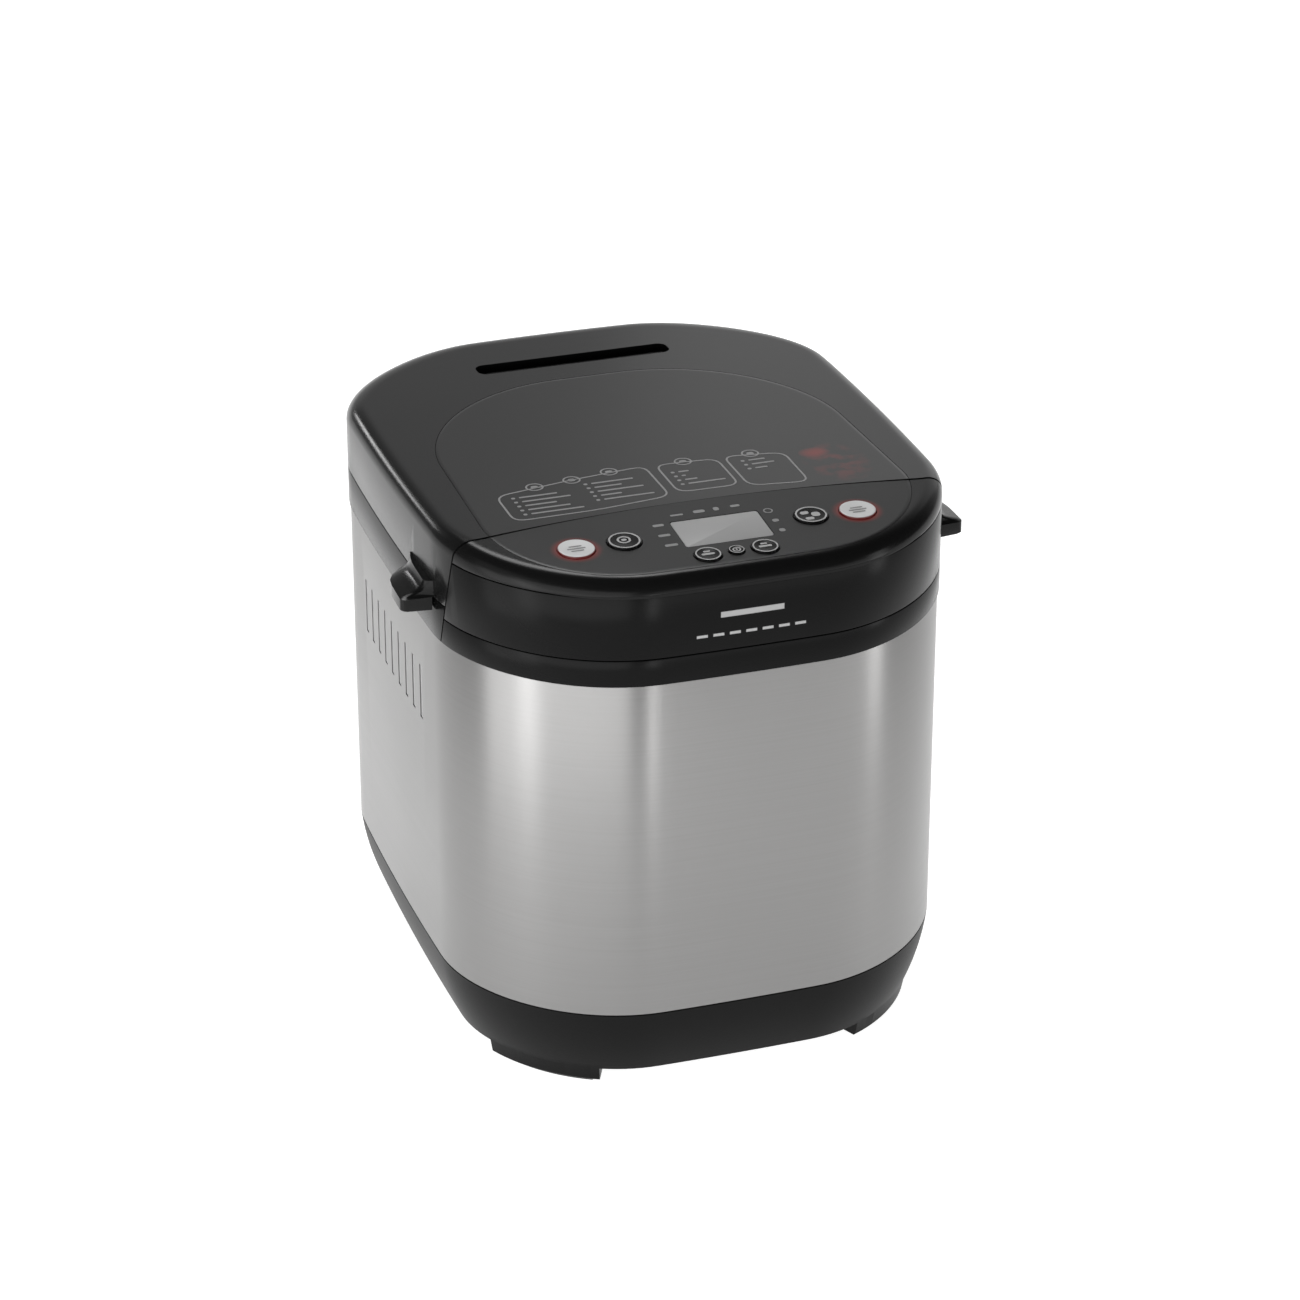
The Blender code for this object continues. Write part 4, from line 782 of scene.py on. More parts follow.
sheet = tube(STEEL_INSET, STEEL_INSET + SHEET_T, STEEL_Z, STEEL_TOP - GAP, 0.15 * MM)
wrap = new_object("wrap", sheet)
for side in (-1, 1):
    slots = repeated(
        "slots",
        SATIN,
        Count=VENT_COUNT,
        Start=(side * WIDTH / 2, VENT_START, VENT_Z),
        Pitch=(0, VENT_PITCH, 0),
        Size=(24 * MM, VENT_W, VENT_H),
    )
    carve(wrap, slots)
complete(wrap, STEEL, "housing", ["steel_wrap"])

# %% [markdown]
# A pale louvre stands in every slot, just under the steel, and keeps fingers and flour out. It is
# the same repeated block, a little smaller, bowed in step with the side.

# %% Louvres in the slots
SIDE_BOW = SIDE_BULGE / (DEPTH / 2 - 6 * MM) ** 2
LOUVRE_X, LOUVRE_T, LOUVRE_PLAY = WIDTH / 2 - STEEL_INSET - 1.1 * MM, 1.5 * MM, 0.5 * MM
for side, word in ((-1, "left"), (1, "right")):
    louvres = repeated(
        f"vent_louvres_{word}",
        PALE_PLASTIC,
        Count=VENT_COUNT,
        Start=(side * LOUVRE_X, VENT_START, VENT_Z),
        Pitch=(0, VENT_PITCH, 0),
        Size=(LOUVRE_T, VENT_W - LOUVRE_PLAY, VENT_H - LOUVRE_PLAY),
        Bow=-side * SIDE_BOW,
    )
    complete(louvres, PALE_PLASTIC, "housing")
    paint_node(f"vent_baffle_{word}", PALE_PLASTIC)

# %% [markdown]
# ## Rims, fascia, deck and lid
# The black top is four mouldings: a rim under the lid, a lower and an upper front band, and the
# control deck. The lid meets the front along a sloping split that bows back on top. Each moulding
# is lofted whole, and a block with that split's shape cuts it.

# %% The split
CROWN_Z = 267.98 * MM
CREASE_Y = -90 * MM
FOLD_Y, FOLD_BOW, FOLD_SPAN = -95 * MM, 9.5 * MM, 105 * MM
SEAM_Y = -86 * MM
SIDE_SEAM_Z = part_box("side_rim")[1].z
FRONT_SEAM_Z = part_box("front_fascia")[0].z
FASCIA_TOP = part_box("front_fascia")[1].z + GAP
SPLIT_SLOPE = (SEAM_Y - FOLD_Y) / (CROWN_Z - SIDE_SEAM_Z)
SPLIT_GAP = 0.9 * MM
SPLIT_STATIONS = 80


def split_solid(side, shift):
    """A block on one side of the split: -1 is the front and 1 the back."""
    rings = []
    for i in range(SPLIT_STATIONS + 1):
        x = WIDTH * 0.6 * (2 * i / SPLIT_STATIONS - 1)
        bow = FOLD_BOW * (1 - min(abs(x) / FOLD_SPAN, 1) ** 2)
        low, high, far = STEEL_TOP - OVER, CROWN_Z + OVER, side * DEPTH
        bent = [(low, 0), (SIDE_SEAM_Z, 0), (CROWN_Z, bow), (high, bow)]
        line = [(SEAM_Y - SPLIT_SLOPE * (z - SIDE_SEAM_Z) + shift + b, z) for z, b in bent]
        rings.append([Vector((x, y, z)) for y, z in line + [(far, high), (far, low)]])
    return loft(rings)


print("the split leans", round(SPLIT_SLOPE, 2), "mm forwards for each mm up")


# %% Rims and fascia
MOULD_EDGE = 0.5 * MM
NOTCH_HALF, NOTCH_DEEP = 74 * MM, 4.8 * MM  # room for the hinge in the back of the rim


def band(name, z_low, z_high, keep):
    """A ring of the outline, of which the part on one side of the split is kept."""
    made = new_object(name, tube(0, PLASTIC, z_low, z_high, MOULD_EDGE))
    return carve(made, split_solid(-keep, keep * SPLIT_GAP / 2))


rim = band("rim", STEEL_TOP, SIDE_SEAM_Z, 1)
notch_low = (-NOTCH_HALF, DEPTH / 2 - 30 * MM, SIDE_SEAM_Z - NOTCH_DEEP)
notch_high = (NOTCH_HALF, DEPTH / 2 + OVER, SIDE_SEAM_Z + OVER)
carve(rim, block(notch_low, notch_high))
complete(rim, FASCIA, "housing", ["side_rim"])
lower = band("lower_band", STEEL_TOP, FRONT_SEAM_Z - GAP, -1)
complete(lower, FASCIA, "housing", ["front_rim"])
upper = band("upper_band", FRONT_SEAM_Z, FASCIA_TOP - GAP, -1)


# %% [markdown]
# A plain bar over a row of dashes stands where a maker would print a mark. It is ink on a curved
# face, so it is a mask in the finish: it follows the face exactly, and a decal would need a mesh.

# %% Mark on the fascia
MARK_X, BAR_Z, BAR_HALF_W, BAR_HALF_H = 3 * MM, 243.4 * MM, 15 * MM, 1.5 * MM
DASHES, DASH_PITCH, DASH_Z = 7, 7.7 * MM, 233.9 * MM
DASH_START, DASH_HALF_W, DASH_HALF_H = -20.5 * MM, 2.7 * MM, 0.8 * MM
INK_EDGE = 0.3 * MM


def bar_mask(along, up, half_length, half_height):
    sides = ((half_length - along.size()) / INK_EDGE).clamped()
    return sides * ((half_height - up.size()) / INK_EDGE).clamped()


def marked_plastic(name):
    made = fascia_plastic(name)
    x, y, z = made.axes()
    ink = bar_mask(x - MARK_X, z - BAR_Z, BAR_HALF_W, BAR_HALF_H)
    for i in range(DASHES):
        along = x - (DASH_START + DASH_PITCH * i)
        ink = ink + bar_mask(along, z - DASH_Z, DASH_HALF_W, DASH_HALF_H)
    ink = ink * ((y + 0.1) * -200).clamped()  # on the front face only
    black = Value(made, made.shader.inputs["Base Color"].links[0].from_socket)
    made.set(Base_Color=made.mix(ink.clamped(), black, grey(0.36)))
    return made


complete(upper, marked_plastic("marked_black"), "housing", ["front_fascia"])

# %% [markdown]
# ## Dome
# The top edge is tight at the front and the sides and soft at the back. A bevel has one radius, so
# the dome is lofted in quarter circles whose radius grows towards the back.

# %% Dome
SHOULDER_R, BACK_SHOULDER_R = 8 * MM, 20 * MM
LID_FALL, DECK_FALL = 4.4 * MM, 4.3 * MM
LID_SLOPE = LID_FALL / (DEPTH / 2 - CREASE_Y)
DECK_SLOPE = DECK_FALL / (DEPTH / 2 + CREASE_Y)
SHOULDER_STEPS = 12


def lid_top(y):
    return CROWN_Z - LID_SLOPE * (y - CREASE_Y)


def deck_top(y):
    return CROWN_Z - DECK_SLOPE * (CREASE_Y - y)


def shoulder_radius(y):
    share = min(max((y - DEPTH * 0.2) / (DEPTH * 0.3), 0), 1)
    share = share * share * (3 - 2 * share)
    return SHOULDER_R + (BACK_SHOULDER_R - SHOULDER_R) * share


def dome(top, z_low, wall=0.0, edge=0.0):
    """A closed cap on the outline. Top gives the height of its crown at each y."""
    side = body_outline(wall)
    inwards = [(b - a).normalized() for a, b in zip(side, body_outline(wall + 1 * MM))]
    rings = []
    if edge:
        rings.append(at_level(body_outline(wall + edge), z_low))
        rings.append(at_level(body_outline(wall + edge * 0.3), z_low + edge * 0.3))
    rings.append(at_level(side, z_low + edge))
    for step in range(SHOULDER_STEPS + 2):
        turn = pi / 2 * min(step, SHOULDER_STEPS) / SHOULDER_STEPS
        extra = 1.5 * MM if step > SHOULDER_STEPS else 0
        ring = []
        for point, inward in zip(side, inwards):
            radius = shoulder_radius(point.y) - wall
            moved = point + inward * (radius * (1 - cos(turn)) + extra)
            z = top(moved.y) - wall - radius * (1 - sin(turn))
            ring.append(Vector((moved.x, moved.y, z)))
        rings.append(ring)
    return loft(rings)


print("the lid falls", round(LID_FALL / MM, 1), "mm towards the back")

# %% [markdown]
# ## Inlay and deck
# A glossy inlay lies flush in the lid and goes on over the deck. Both recesses and both plates come
# from one outline, measured from the crease where the two planes cross, so they can't drift apart.

# %% Inlay outline and the two tilted planes
INLAY_T = 0.8 * MM
INLAY_X, INLAY_BACK_Y = 101 * MM, 74 * MM
INLAY_MARGIN = 10.5 * MM
crease = Matrix.Translation((0, CREASE_Y, CROWN_Z))
deck_frame = crease @ Matrix.Rotation(atan(DECK_SLOPE), 4, "X")
lid_frame = crease @ Matrix.Rotation(-atan(LID_SLOPE), 4, "X")


def inlay_outline(distance):
    back = INLAY_BACK_Y - CREASE_Y
    front = CREASE_Y + DEPTH / 2 - INLAY_MARGIN
    points = rounded_box(INLAY_X, -front, back, 60 * MM, 84 * MM, 30, 16)
    for point in points:
        share = max(point.y, 0) / back
        point.x *= 1 - 0.05 * share
        bow = 3 * MM * (1 - (point.x / INLAY_X) ** 2)
        point.y += bow if point.y > 0 else -bow
    return inset(points, distance)


def top_shell(name, top, z_low, keep, turn):
    """A hollow dome on one side of the split, with a recess for the inlay."""
    shell = new_object(name, dome(top, z_low, edge=MOULD_EDGE))
    carve(shell, split_solid(-keep, keep * SPLIT_GAP / 2))
    inside = new_object("inside", dome(top, z_low - 5 * MM, PLASTIC))
    carve(inside, split_solid(-keep, keep * (SPLIT_GAP / 2 + PLASTIC)))
    carve(shell, inside)
    return carve(shell, prism(inlay_outline(0), -INLAY_T - GAP, OVER), turn=turn)


def plate(name, keep, turn):
    """The inlay with a softened upper edge, on one side of the split."""
    play, edge = 0.12 * MM, 0.25 * MM
    rows = [(play, -INLAY_T), (play, -edge), (play + edge * 0.4, -edge * 0.3)]
    rows += [(play + edge, 0), (2 * MM, 0)]
    made = new_object(name, stacked(inlay_outline, rows), turn)
    return carve(made, split_solid(-keep, keep * SPLIT_GAP / 2))


print("inlay", round(2 * INLAY_X / MM), "mm wide")

# %% Deck with its holes
LCD_W, LCD_D, LCD_X, LCD_Y = 41.5 * MM, 24.2 * MM, 2.0 * MM, -25.0 * MM
BUTTONS = {  # name: (x, y, radius)
    "start_stop_button": (66.5 * MM, -25.9 * MM, 8.5 * MM),
    "program_button": (-66.5 * MM, -25.9 * MM, 8.5 * MM),
    "crust_button": (-43.8 * MM, -24.8 * MM, 8.0 * MM),
    "weight_button": (44.5 * MM, -24.8 * MM, 8.0 * MM),
    "timer_minus_button": (-12.0 * MM, -46.8 * MM, 6.4 * MM),
    "clock_button": (1.5 * MM, -46.4 * MM, 3.8 * MM),
    "timer_plus_button": (14.8 * MM, -46.8 * MM, 6.4 * MM),
}


def lcd_outline(extra):
    half_d, corner = LCD_D / 2 + extra, 1.5 * MM
    box = rounded_box(LCD_W / 2 + extra, LCD_Y - half_d, LCD_Y + half_d, corner, corner, 6)
    return [Vector((p.x + LCD_X, p.y)) for p in box]


def control_holes():
    holes = [
        prism(circle(x, y, radius + 0.3 * MM), -OVER / 2, OVER / 2)
        for x, y, radius in BUTTONS.values()
    ]
    return joined(*holes, prism(lcd_outline(0.2 * MM), -OVER / 2, OVER / 2))


deck = top_shell("deck", deck_top, FASCIA_TOP, -1, deck_frame)
carve(deck, control_holes(), turn=deck_frame)
complete(deck, GLOSS, "housing", ["control_deck"])

# %% [markdown]
# A soft red glow round the two white buttons is painted light, for the lamps under them. It is a mask
# in the plate's own finish: the distance from each button's middle, turned into a halo that fades
# outwards.


# %% Finish of the plates
PAINTED_HALO_REACH = 3.8 * MM
PAINTED_HALO_RED, BLOT_RED = (0.22, 0.012, 0.008, 1), (0.13, 0.012, 0.01, 1)
DOT_RED = (0.22, 0.014, 0.01, 1)


def distance_from(x, y, middle):
    dx, dy = x - middle[0], y - middle[1]
    return (dx * dx + dy * dy).root()


def oval(x, y, middle, reach):
    """1 in the middle of an oval, falling to 0 at its edge."""
    dx, dy = (x - middle[0]) / reach[0], (y - middle[1]) / reach[1]
    return (1 - (dx * dx + dy * dy)).clamped()


def plate_with_print_and_painted_glow(name, halos=(), blot=None, dot=None):
    made = Finish(name)
    x, y, _ = made.axes()
    cloud, fine = made.noise(14, 3), made.noise(GLOSS_GRAIN, 2)
    colour = made.mix(cloud, grey(0.006), grey(0.009))
    # painted glow: a red halo round each lit button, for the light of the lamp under it
    for middle in halos:
        off_ring = (distance_from(x, y, middle) - middle[2]).size()
        glow = (1 - off_ring / PAINTED_HALO_REACH).clamped()
        colour = made.mix(glow * glow * 0.9, colour, PAINTED_HALO_RED)
    if blot:
        torn = ((made.noise(120, 2) - 0.42) * 5).clamped()
        colour = made.mix(oval(x, y, *blot) * torn * 0.8, colour, BLOT_RED)
    if dot:
        colour = made.mix(oval(x, y, *dot) * 0.8, colour, DOT_RED)
    made.set(
        Base_Color=colour,
        Roughness=cloud * 0.06 + (fine * 0.05 + 0.24),
        Specular_IOR_Level=0.17,
    )
    made.bump(fine, GLOSS_RELIEF)
    return made


def world_spot(name):
    """Where a button's middle is, and the radius of the ring of painted red glow round it."""
    x, y, radius = BUTTONS[name]
    spot = deck_frame @ Vector((x, y, 0))
    return (spot.x, spot.y, radius + 0.6 * MM)


def lit_cap(name, spot):
    """A white cap whose outer ring is painted red, for the glow of the lamp under it."""
    made = Finish(name)
    x, y, _ = made.axes()
    # painted glow: the cap's outer ring is painted red, for the light of the lamp under it
    ring = ((distance_from(x, y, spot) - (spot[2] - 1.2 * MM)) / (0.5 * MM)).clamped()
    white = made.mix(made.noise(30, 2), grey(0.66), grey(0.76))
    red = made.mix(ring, white, (0.2, 0.012, 0.01, 1))
    made.set(Base_Color=red, Roughness=made.noise(900) * 0.08 + 0.3)
    made.bump(made.noise(GLOSS_GRAIN), 0.00001)
    return made


LIT = ("start_stop_button", "program_button")
BLOT = ((76 * MM, -64 * MM), (16 * MM, 25 * MM))  # middle, and half of each side
DOT = ((70 * MM, -50 * MM), (8 * MM, 6 * MM))
DECK_PLATE = plate_with_print_and_painted_glow("deck_plate", halos=[world_spot(name) for name in LIT])
LID_PLATE = plate_with_print_and_painted_glow("lid_plate", blot=BLOT, dot=DOT)

overlay = plate("overlay", -1, deck_frame)
carve(overlay, control_holes(), turn=deck_frame)
complete(overlay, DECK_PLATE, "housing", ["control_overlay"])

window = new_object("window", prism(lcd_outline(0), -1.6 * MM, -0.1 * MM), deck_frame)
soften(window, 0.25 * MM)
complete(window, DISPLAY, "housing", ["lcd_window"])

# %% [markdown]
# ## Lid
# The lid is a hollow dome with a front wall along the split, a recess for the inlay, a slot for the
# steam and a grip on each side. The grips are part of the same moulding, so they are united with
# it: two shapes that only touch would show a dark line where they meet.

# %% Lid shell
LID_Z = SIDE_SEAM_Z + GAP
SLOT_W, SLOT_D, SLOT_Y = 98 * MM, 12.5 * MM, 100.5 * MM
slot_far = SLOT_Y - CREASE_Y
GRIP_OUT, GRIP_T = 13.98 * MM, 7 * MM
GRIP_REAR_Y, GRIP_FRONT_Y = -37 * MM, -75 * MM
GRIP_TIP_R = 3 * MM
GRIP_TAIL = ((0.02, 20), (0.08, 14), (0.25, 9), (0.6, 3.5))  # share drawn in, mm from the rear
GRIP_RISE = (  # share of the reach, mm above the lid's edge, mm trimmed
    (1.0, 0.5, 0.6), (0.97, 1.0, 1.4), (0.75, 1.9, 1.4),
    (0.5, 3.2, 1.4), (0.36, 5.2, 1.4), (0.3, 7.6, 1.4),
)


def slot_outline(extra):
    half_w, half_d = SLOT_W / 2 + extra, SLOT_D / 2 + extra
    corner = half_d * 0.75
    return rounded_box(half_w, slot_far - half_d, slot_far + half_d, corner, corner, 10)


def side_x(y, distance):
    """How far the outline is from the middle plane at y."""
    line = sorted((p for p in body_outline(distance) if p.x > 0), key=lambda p: p.y)
    for low, high in zip(line, line[1:]):
        if low.y <= y <= high.y:
            return low.lerp(high, (y - low.y) / (high.y - low.y)).x
    raise ValueError("y is outside the outline")


def grip_outline(root, reach, trim=0.0):
    """A grip from above: along the lid's side to its front end, then back round its outer edge."""
    length, steps = GRIP_FRONT_Y - GRIP_REAR_Y, 10
    spots = [GRIP_REAR_Y + length * i / steps for i in range(steps + 1)]
    outline = [Vector((side_x(y, root), y)) for y in spots]
    edge = side_x(GRIP_REAR_Y, 0)
    far, front = edge + reach - trim, GRIP_FRONT_Y + trim
    outline += arc(far - GRIP_TIP_R, front + GRIP_TIP_R * 1.2, GRIP_TIP_R, -pi / 2, 0, 6)
    for drawn_in, ahead in GRIP_TAIL:
        outline.append(Vector((far - reach * drawn_in, GRIP_REAR_Y - ahead * MM)))
    return outline


def grip(side):
    root, bottom = 1.5 * MM, LID_Z + 1 * MM - GRIP_T
    rings = [
        at_level(grip_outline(-1 * MM, GRIP_OUT, 0.7 * MM), bottom),
        at_level(grip_outline(-1 * MM, GRIP_OUT), bottom + 0.7 * MM),
        at_level(grip_outline(-1 * MM, GRIP_OUT), LID_Z + 0.25 * MM),
        at_level(grip_outline(root, GRIP_OUT), LID_Z + 0.25 * MM),
    ]
    for share, rise, trim in GRIP_RISE:
        ring = grip_outline(root, GRIP_OUT * share, trim * MM)
        rings.append(at_level(ring, LID_Z + rise * MM))
    for ring in rings:
        for point in ring:
            point.x *= side
    return loft(rings)


lid = top_shell("lid", lid_top, LID_Z, 1, lid_frame)
carve(lid, prism(slot_outline(0), -OVER, OVER), turn=lid_frame)
for side in (-1, 1):
    carve(lid, grip(side), "UNION", "MANIFOLD")

# %% Hinge ears and windows in the lid
HINGE_Y, HINGE_Z = DEPTH / 2 - 3.5 * MM, SIDE_SEAM_Z + 1.2 * MM
BARREL_R, PIN_R = 3.2 * MM, 1.85 * MM


def barrel(x_low, x_high, radius, steps=40):
    mesh = turned([(radius, x_low), (radius, x_high)], steps=steps)
    mesh.transform(Matrix.Translation((0, HINGE_Y, HINGE_Z)) @ Matrix.Rotation(pi / 2, 4, "Y"))
    return mesh


for side in (-1, 1):
    near, far = sorted((side * 28 * MM, side * 42 * MM))
    carve(lid, barrel(near, far, BARREL_R), "UNION")
    carve(lid, barrel(near - 2 * MM, far + 2 * MM, PIN_R))
    near, far = sorted((side * 42.1 * MM, side * 52.4 * MM))
    low = (near, HINGE_Y - BARREL_R - 4 * MM, LID_Z - 3 * MM)
    carve(lid, block(low, (far, DEPTH / 2 + 4 * MM, HINGE_Z + BARREL_R + 0.9 * MM)))
complete(lid, GLOSS, "lid", ["lid_shell"])

panel = plate("panel", 1, lid_frame)
complete(panel, LID_PLATE, "lid", ["lid_inlay"])


# %% Steam trough
def trough():
    top, depth, wall = -PLASTIC - GAP, 9 * MM, 1.2 * MM
    outside, flange, bore = wall + 0.5 * MM, 3 * MM, 0.3 * MM
    rows = [
        (outside, top - depth), (outside, top - wall), (flange, top - wall),
        (flange, top), (bore, top), (bore, top - depth + wall),
    ]
    return stacked(slot_outline, rows)


def ramp():
    """The floor of the slot: it falls towards the back, so that drips run off that way."""
    front, back = slot_far - SLOT_D / 2 + 0.4 * MM, slot_far + 2.0 * MM
    section = [(front, -2.0), (back, -4.2), (back, -2.7), (front + 3 * MM, -1.0), (front, -0.4)]
    half = SLOT_W / 2 - 4 * MM
    rings = [[Vector((x, y, z * MM)) for y, z in section] for x in (-half, half)]
    return loft(rings)


well = new_object("steam_well", trough(), lid_frame)
complete(well, SATIN, "lid", ["steam_trough"])
slope = new_object("steam_ramp", ramp(), lid_frame)
complete(slope, GLOSS, "lid")
ribs = repeated(
    "steam_ribs",
    SATIN,
    Count=2,
    Start=(-16 * MM, SLOT_Y - 0.5 * MM, CROWN_Z - 10.5 * MM),
    Pitch=(32 * MM, 0, 0),
    Size=(1.2 * MM, 11 * MM, 6 * MM),
)
complete(ribs, SATIN, "lid")

# %% [markdown]
# ## Buttons
# Every button is round, with a slightly hollow cap and a rounded edge, so one profile turned on the
# button's own axis makes it whole, where a cylinder would need its edge and its hollow added. The
# two large ones are white, and the rest are the deck's black.


# %% Buttons
CAP_PROUD, CAP_LOW, FLANGE_TOP, FLANGE_OUT = 0.9 * MM, -5.3 * MM, -3.6 * MM, 1.0 * MM


def cap(x, y, radius):
    proud = CAP_PROUD
    profile = [
        (radius * 0.5, CAP_LOW),
        (radius + FLANGE_OUT, CAP_LOW),
        (radius + FLANGE_OUT, FLANGE_TOP),
        (radius, FLANGE_TOP),
        (radius, proud - 0.6 * MM),
        (radius - 0.12 * MM, proud - 0.25 * MM),
        (radius - 0.35 * MM, proud - 0.06 * MM),
        (radius - 0.7 * MM, proud),
        (radius - 1.1 * MM, proud),
        (radius * 0.55, proud - 0.25 * MM),
        (radius * 0.2, proud - 0.33 * MM),
    ]
    return turned(profile, x, y)


for name, (x, y, radius) in BUTTONS.items():
    finish, slot = FASCIA, "black_gloss"
    if name in LIT:
        finish, slot = lit_cap(f"{name}_white", world_spot(name)), "silver_plastic"
    button = new_object(name.replace("_button", "_cap"), cap(x, y, radius), deck_frame)
    complete(button, finish, f"{name}_body", [name])

# %% [markdown]
# ## Printed marks
# The marks are thin raised ink, built as very flat solids, because their edges have to stay crisp
# from close by. They are plain bars, rings and dots: they say nothing, and belong to no maker.

# %% Inks
INK_TOP, INK_ROOT = 0.05 * MM, 0.02 * MM  # how far the ink stands proud, and sinks in


def ink_line(outer, width, z=0.0):
    """A closed line of ink, of this width, inside an outline."""
    inner, low, high = inset(outer, width), z - INK_ROOT, z + INK_TOP
    rows = ((outer, low), (outer, high), (inner, high), (inner, low))
    return loft([at_level(points, level) for points, level in rows], capped=False)


def ink_bar(x, y, w, h, z=0.0):
    corner = min(w, h) * 0.4
    box = rounded_box(w / 2, -h / 2, h / 2, corner, corner, 6)
    return prism([Vector((p.x + x, p.y + y)) for p in box], z - INK_ROOT, z + INK_TOP)


def ink_ring(x, y, radius, width, z=0.0):
    return ink_line(circle(x, y, radius, 40), width, z)


def in_mm(function, *sizes):
    return function(*(size * MM for size in sizes))


print("ink stands", round(INK_TOP / MM, 2), "mm proud")

# %% Marks on the deck
DECK_BARS = (  # x, y, width and height in mm
    (-24.5, -14.4, 5.2, 2.0), (-24.8, -24.0, 5.6, 2.0), (-24.6, -33.4, 6.0, 2.0),
    (-13.4, -7.2, 6.0, 1.3), (-2.6, -6.6, 5.4, 2.4), (5.6, -6.4, 2.6, 3.0),
    (14.8, -6.0, 4.4, 1.9), (27.8, -24.2, 3.0, 2.6), (27.6, -33.6, 2.8, 2.8),
)
deck_marks = [in_mm(ink_bar, *row) for row in DECK_BARS]
deck_marks.append(in_mm(ink_ring, 27.6, -14.6, 2.2, 0.6))
marks = new_object("deck_marks", joined(*deck_marks), deck_frame)
complete(marks, PRINT_GREY, "housing")


# %% Marks on the buttons
IN_CAP = 0.68 * MM  # the level of the ink in a cap's hollow
LIT_BARS = ((0, 0, 1.0, 0.1), (0, 0.24, 0.7, 0.1), (0, -0.24, 0.7, 0.1))
TIMER_BARS = ((0, 0, 0.95, 0.26), (0, 0.36, 0.5, 0.2))
CAP_BARS = {  # name: (x, y, width, height) of each bar, as shares of the cap's radius
    "start_stop_button": LIT_BARS,
    "program_button": LIT_BARS,
    "crust_button": ((0, 0.1, 0.3, 0.24),),
    "weight_button": ((-0.3, 0.3, 0.5, 0.34), (0.28, 0, 0.5, 0.5), (-0.2, -0.4, 0.5, 0.3)),
    "timer_minus_button": TIMER_BARS,
    "clock_button": ((0, 0.05, 0.16, 0.4),),
    "timer_plus_button": TIMER_BARS,
}
CAP_RINGS = {"crust_button": (0.1, 0.4, 0.12), "clock_button": (0, 0.5, 0.16)}


def button_marks(name):
    """Bars on every cap, a ring at the edge of the black ones, and a smaller ring inside two."""
    x, y, r = BUTTONS[name]
    made = []
    if name not in LIT:
        made.append(ink_ring(x, y, r * 0.9, r * 0.1, CAP_PROUD))
    if name in CAP_RINGS:
        up, size, width = CAP_RINGS[name]
        made.append(ink_ring(x, y + r * up, r * size, r * width, IN_CAP))
    for across, up, w, h in CAP_BARS[name]:
        made.append(ink_bar(x + r * across, y + r * up, r * w, r * h, IN_CAP))
    return made


for name in BUTTONS:
    sign = new_object(name.replace("_button", "_sign"), joined(*button_marks(name)), deck_frame)
    complete(sign, PRINT_GREY if name in LIT else PRINT_PALE, f"{name}_body")


# %% Marks on the lid
def soft_polygon(corners, radius, steps=5):
    """A polygon whose corners are rounded off with short curves."""
    points = []
    corners = [Vector(c) * MM for c in corners]
    for before, here, after in zip(corners[-1:] + corners[:-1], corners, corners[1:] + corners[:1]):
        start = here + (before - here).normalized() * radius
        end = here + (after - here).normalized() * radius
        for i in range(steps + 1):
            t = i / steps
            points.append(start.lerp(here, t).lerp(here.lerp(end, t), t))
    return points


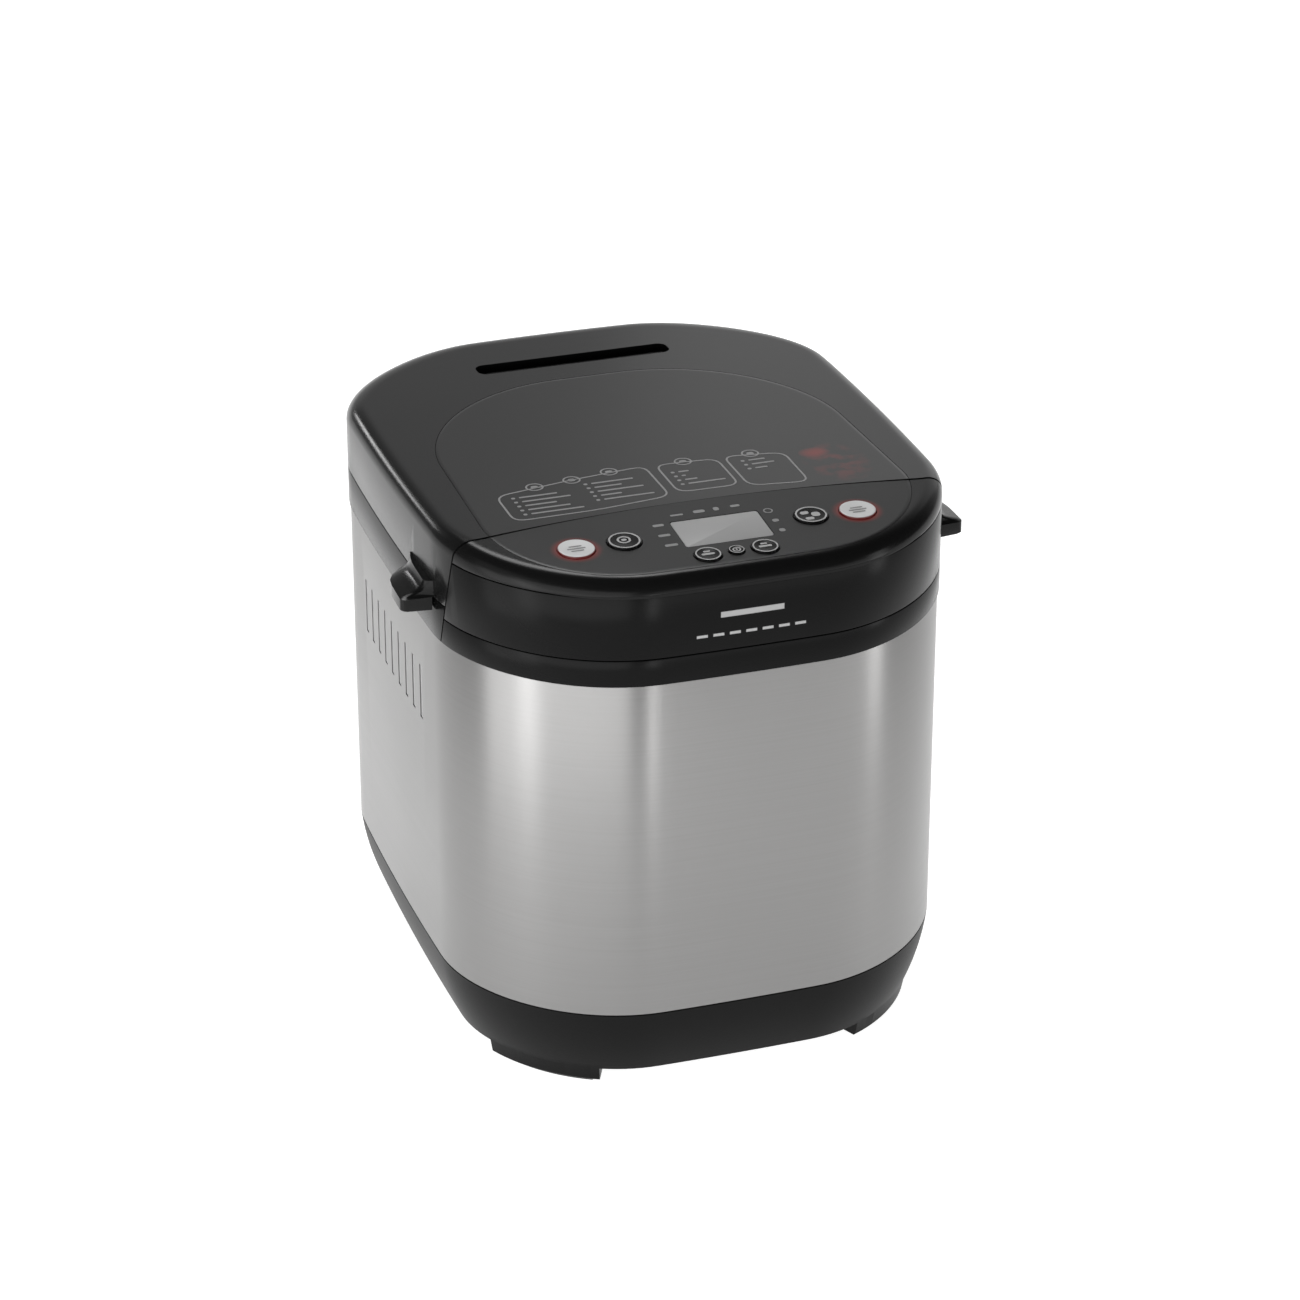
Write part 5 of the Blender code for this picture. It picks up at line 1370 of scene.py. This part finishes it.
FRAMES = (
    ((-85, 8), (-45, 8.5), (-9, 13), (-9.5, 50.5), (-46, 46), (-85, 38.5)),
    ((-5, 15.5), (25, 15), (25, 48), (-5, 50)),
    ((28, 12.5), (56.5, 8), (57, 45), (28, 49.5)),
)
SIGNS = ((-64.8, 43.0), (-46.3, 45.4), (-27.2, 49.0), (8.9, 49.5), (41.5, 48.5))
LISTS = (  # left end, top row, length of each row
    (-79, 33.5, (22, 27, 19, 24, 29)),
    (-43, 38.5, (24, 17, 26, 14, 28)),
    (-1, 38.5, (9, 6, 10, 22)),
    (34, 41, (12, 15, 10)),
)
lid_marks = [ink_line(soft_polygon(corners, 7 * MM), 0.9 * MM) for corners in FRAMES]
for x, y in SIGNS:
    lid_marks.append(ink_ring(x * MM, y * MM, 4.2 * MM, 0.8 * MM, 0.02 * MM))
    lid_marks.append(in_mm(ink_bar, x, y, 3.4, 2.8))
for left, top_row, lengths in LISTS:
    for i, length in enumerate(lengths):
        row = top_row - 4.8 * i
        lid_marks.append(in_mm(ink_bar, left + 1.2, row, 1.8, 1.8))
        lid_marks.append(in_mm(ink_bar, left + 4 + (length - 4) / 2, row, length - 4, 1.3))
marks = new_object("lid_marks", joined(*lid_marks), lid_frame)
complete(marks, PRINT_GREY, "lid")

# %% [markdown]
# ## What the lid hides
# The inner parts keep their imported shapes. Each is copied, its loose triangles are merged so that
# it can be shaded smoothly, and it gets the finish of the metal or plastic that it is made of.

# %% Smooth copies of the inner parts
INNER = {
    SHEET: "baking_chamber chassis_plate motor",
    SATIN: "inner_deck control_bay_wall large_pulley",
    CAST: "lid_liner pan_collar pan_seat bearing_housing motor_pulley",
    COAT: "bread_pan kneading_paddle",
    ROD: "pan_handle handle_ear_left handle_ear_right pan_shaft pan_dog drive_dog drive_shaft"
    " temperature_probe motor_shaft hinge_bracket_left hinge_bracket_right hinge_pin_left"
    " hinge_pin_right",
    BRONZE: "pan_bush drive_bush",
    HEATER: "heating_element",
    RUBBER: "drive_belt cord_gland",
}
FLAT_LINER = 12  # degrees: the liner is flat, so even its shallow edges stay sharp


def smooth_copy(node, finish, angle):
    mesh = bmesh.new()
    mesh.from_mesh(frame["nodes"][node].data)
    bmesh.ops.remove_doubles(mesh, verts=mesh.verts[:], dist=0.002 * MM)
    piece = new_object(f"{node}_finish", mesh)
    return complete(piece, finish, frame["nodes"][node]["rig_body"], [node], angle)


for finish, nodes in INNER.items():
    for node in nodes.split():
        smooth_copy(node, finish, FLAT_LINER if node == "lid_liner" else 40)
for node, finish in (
    ("control_board", BOARD), ("power_board", BOARD),
    ("lcd_module", GREY_PLASTIC), ("transformer", GREY_PLASTIC),
):
    paint_node(node, finish)

# %% Sizes
low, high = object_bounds()
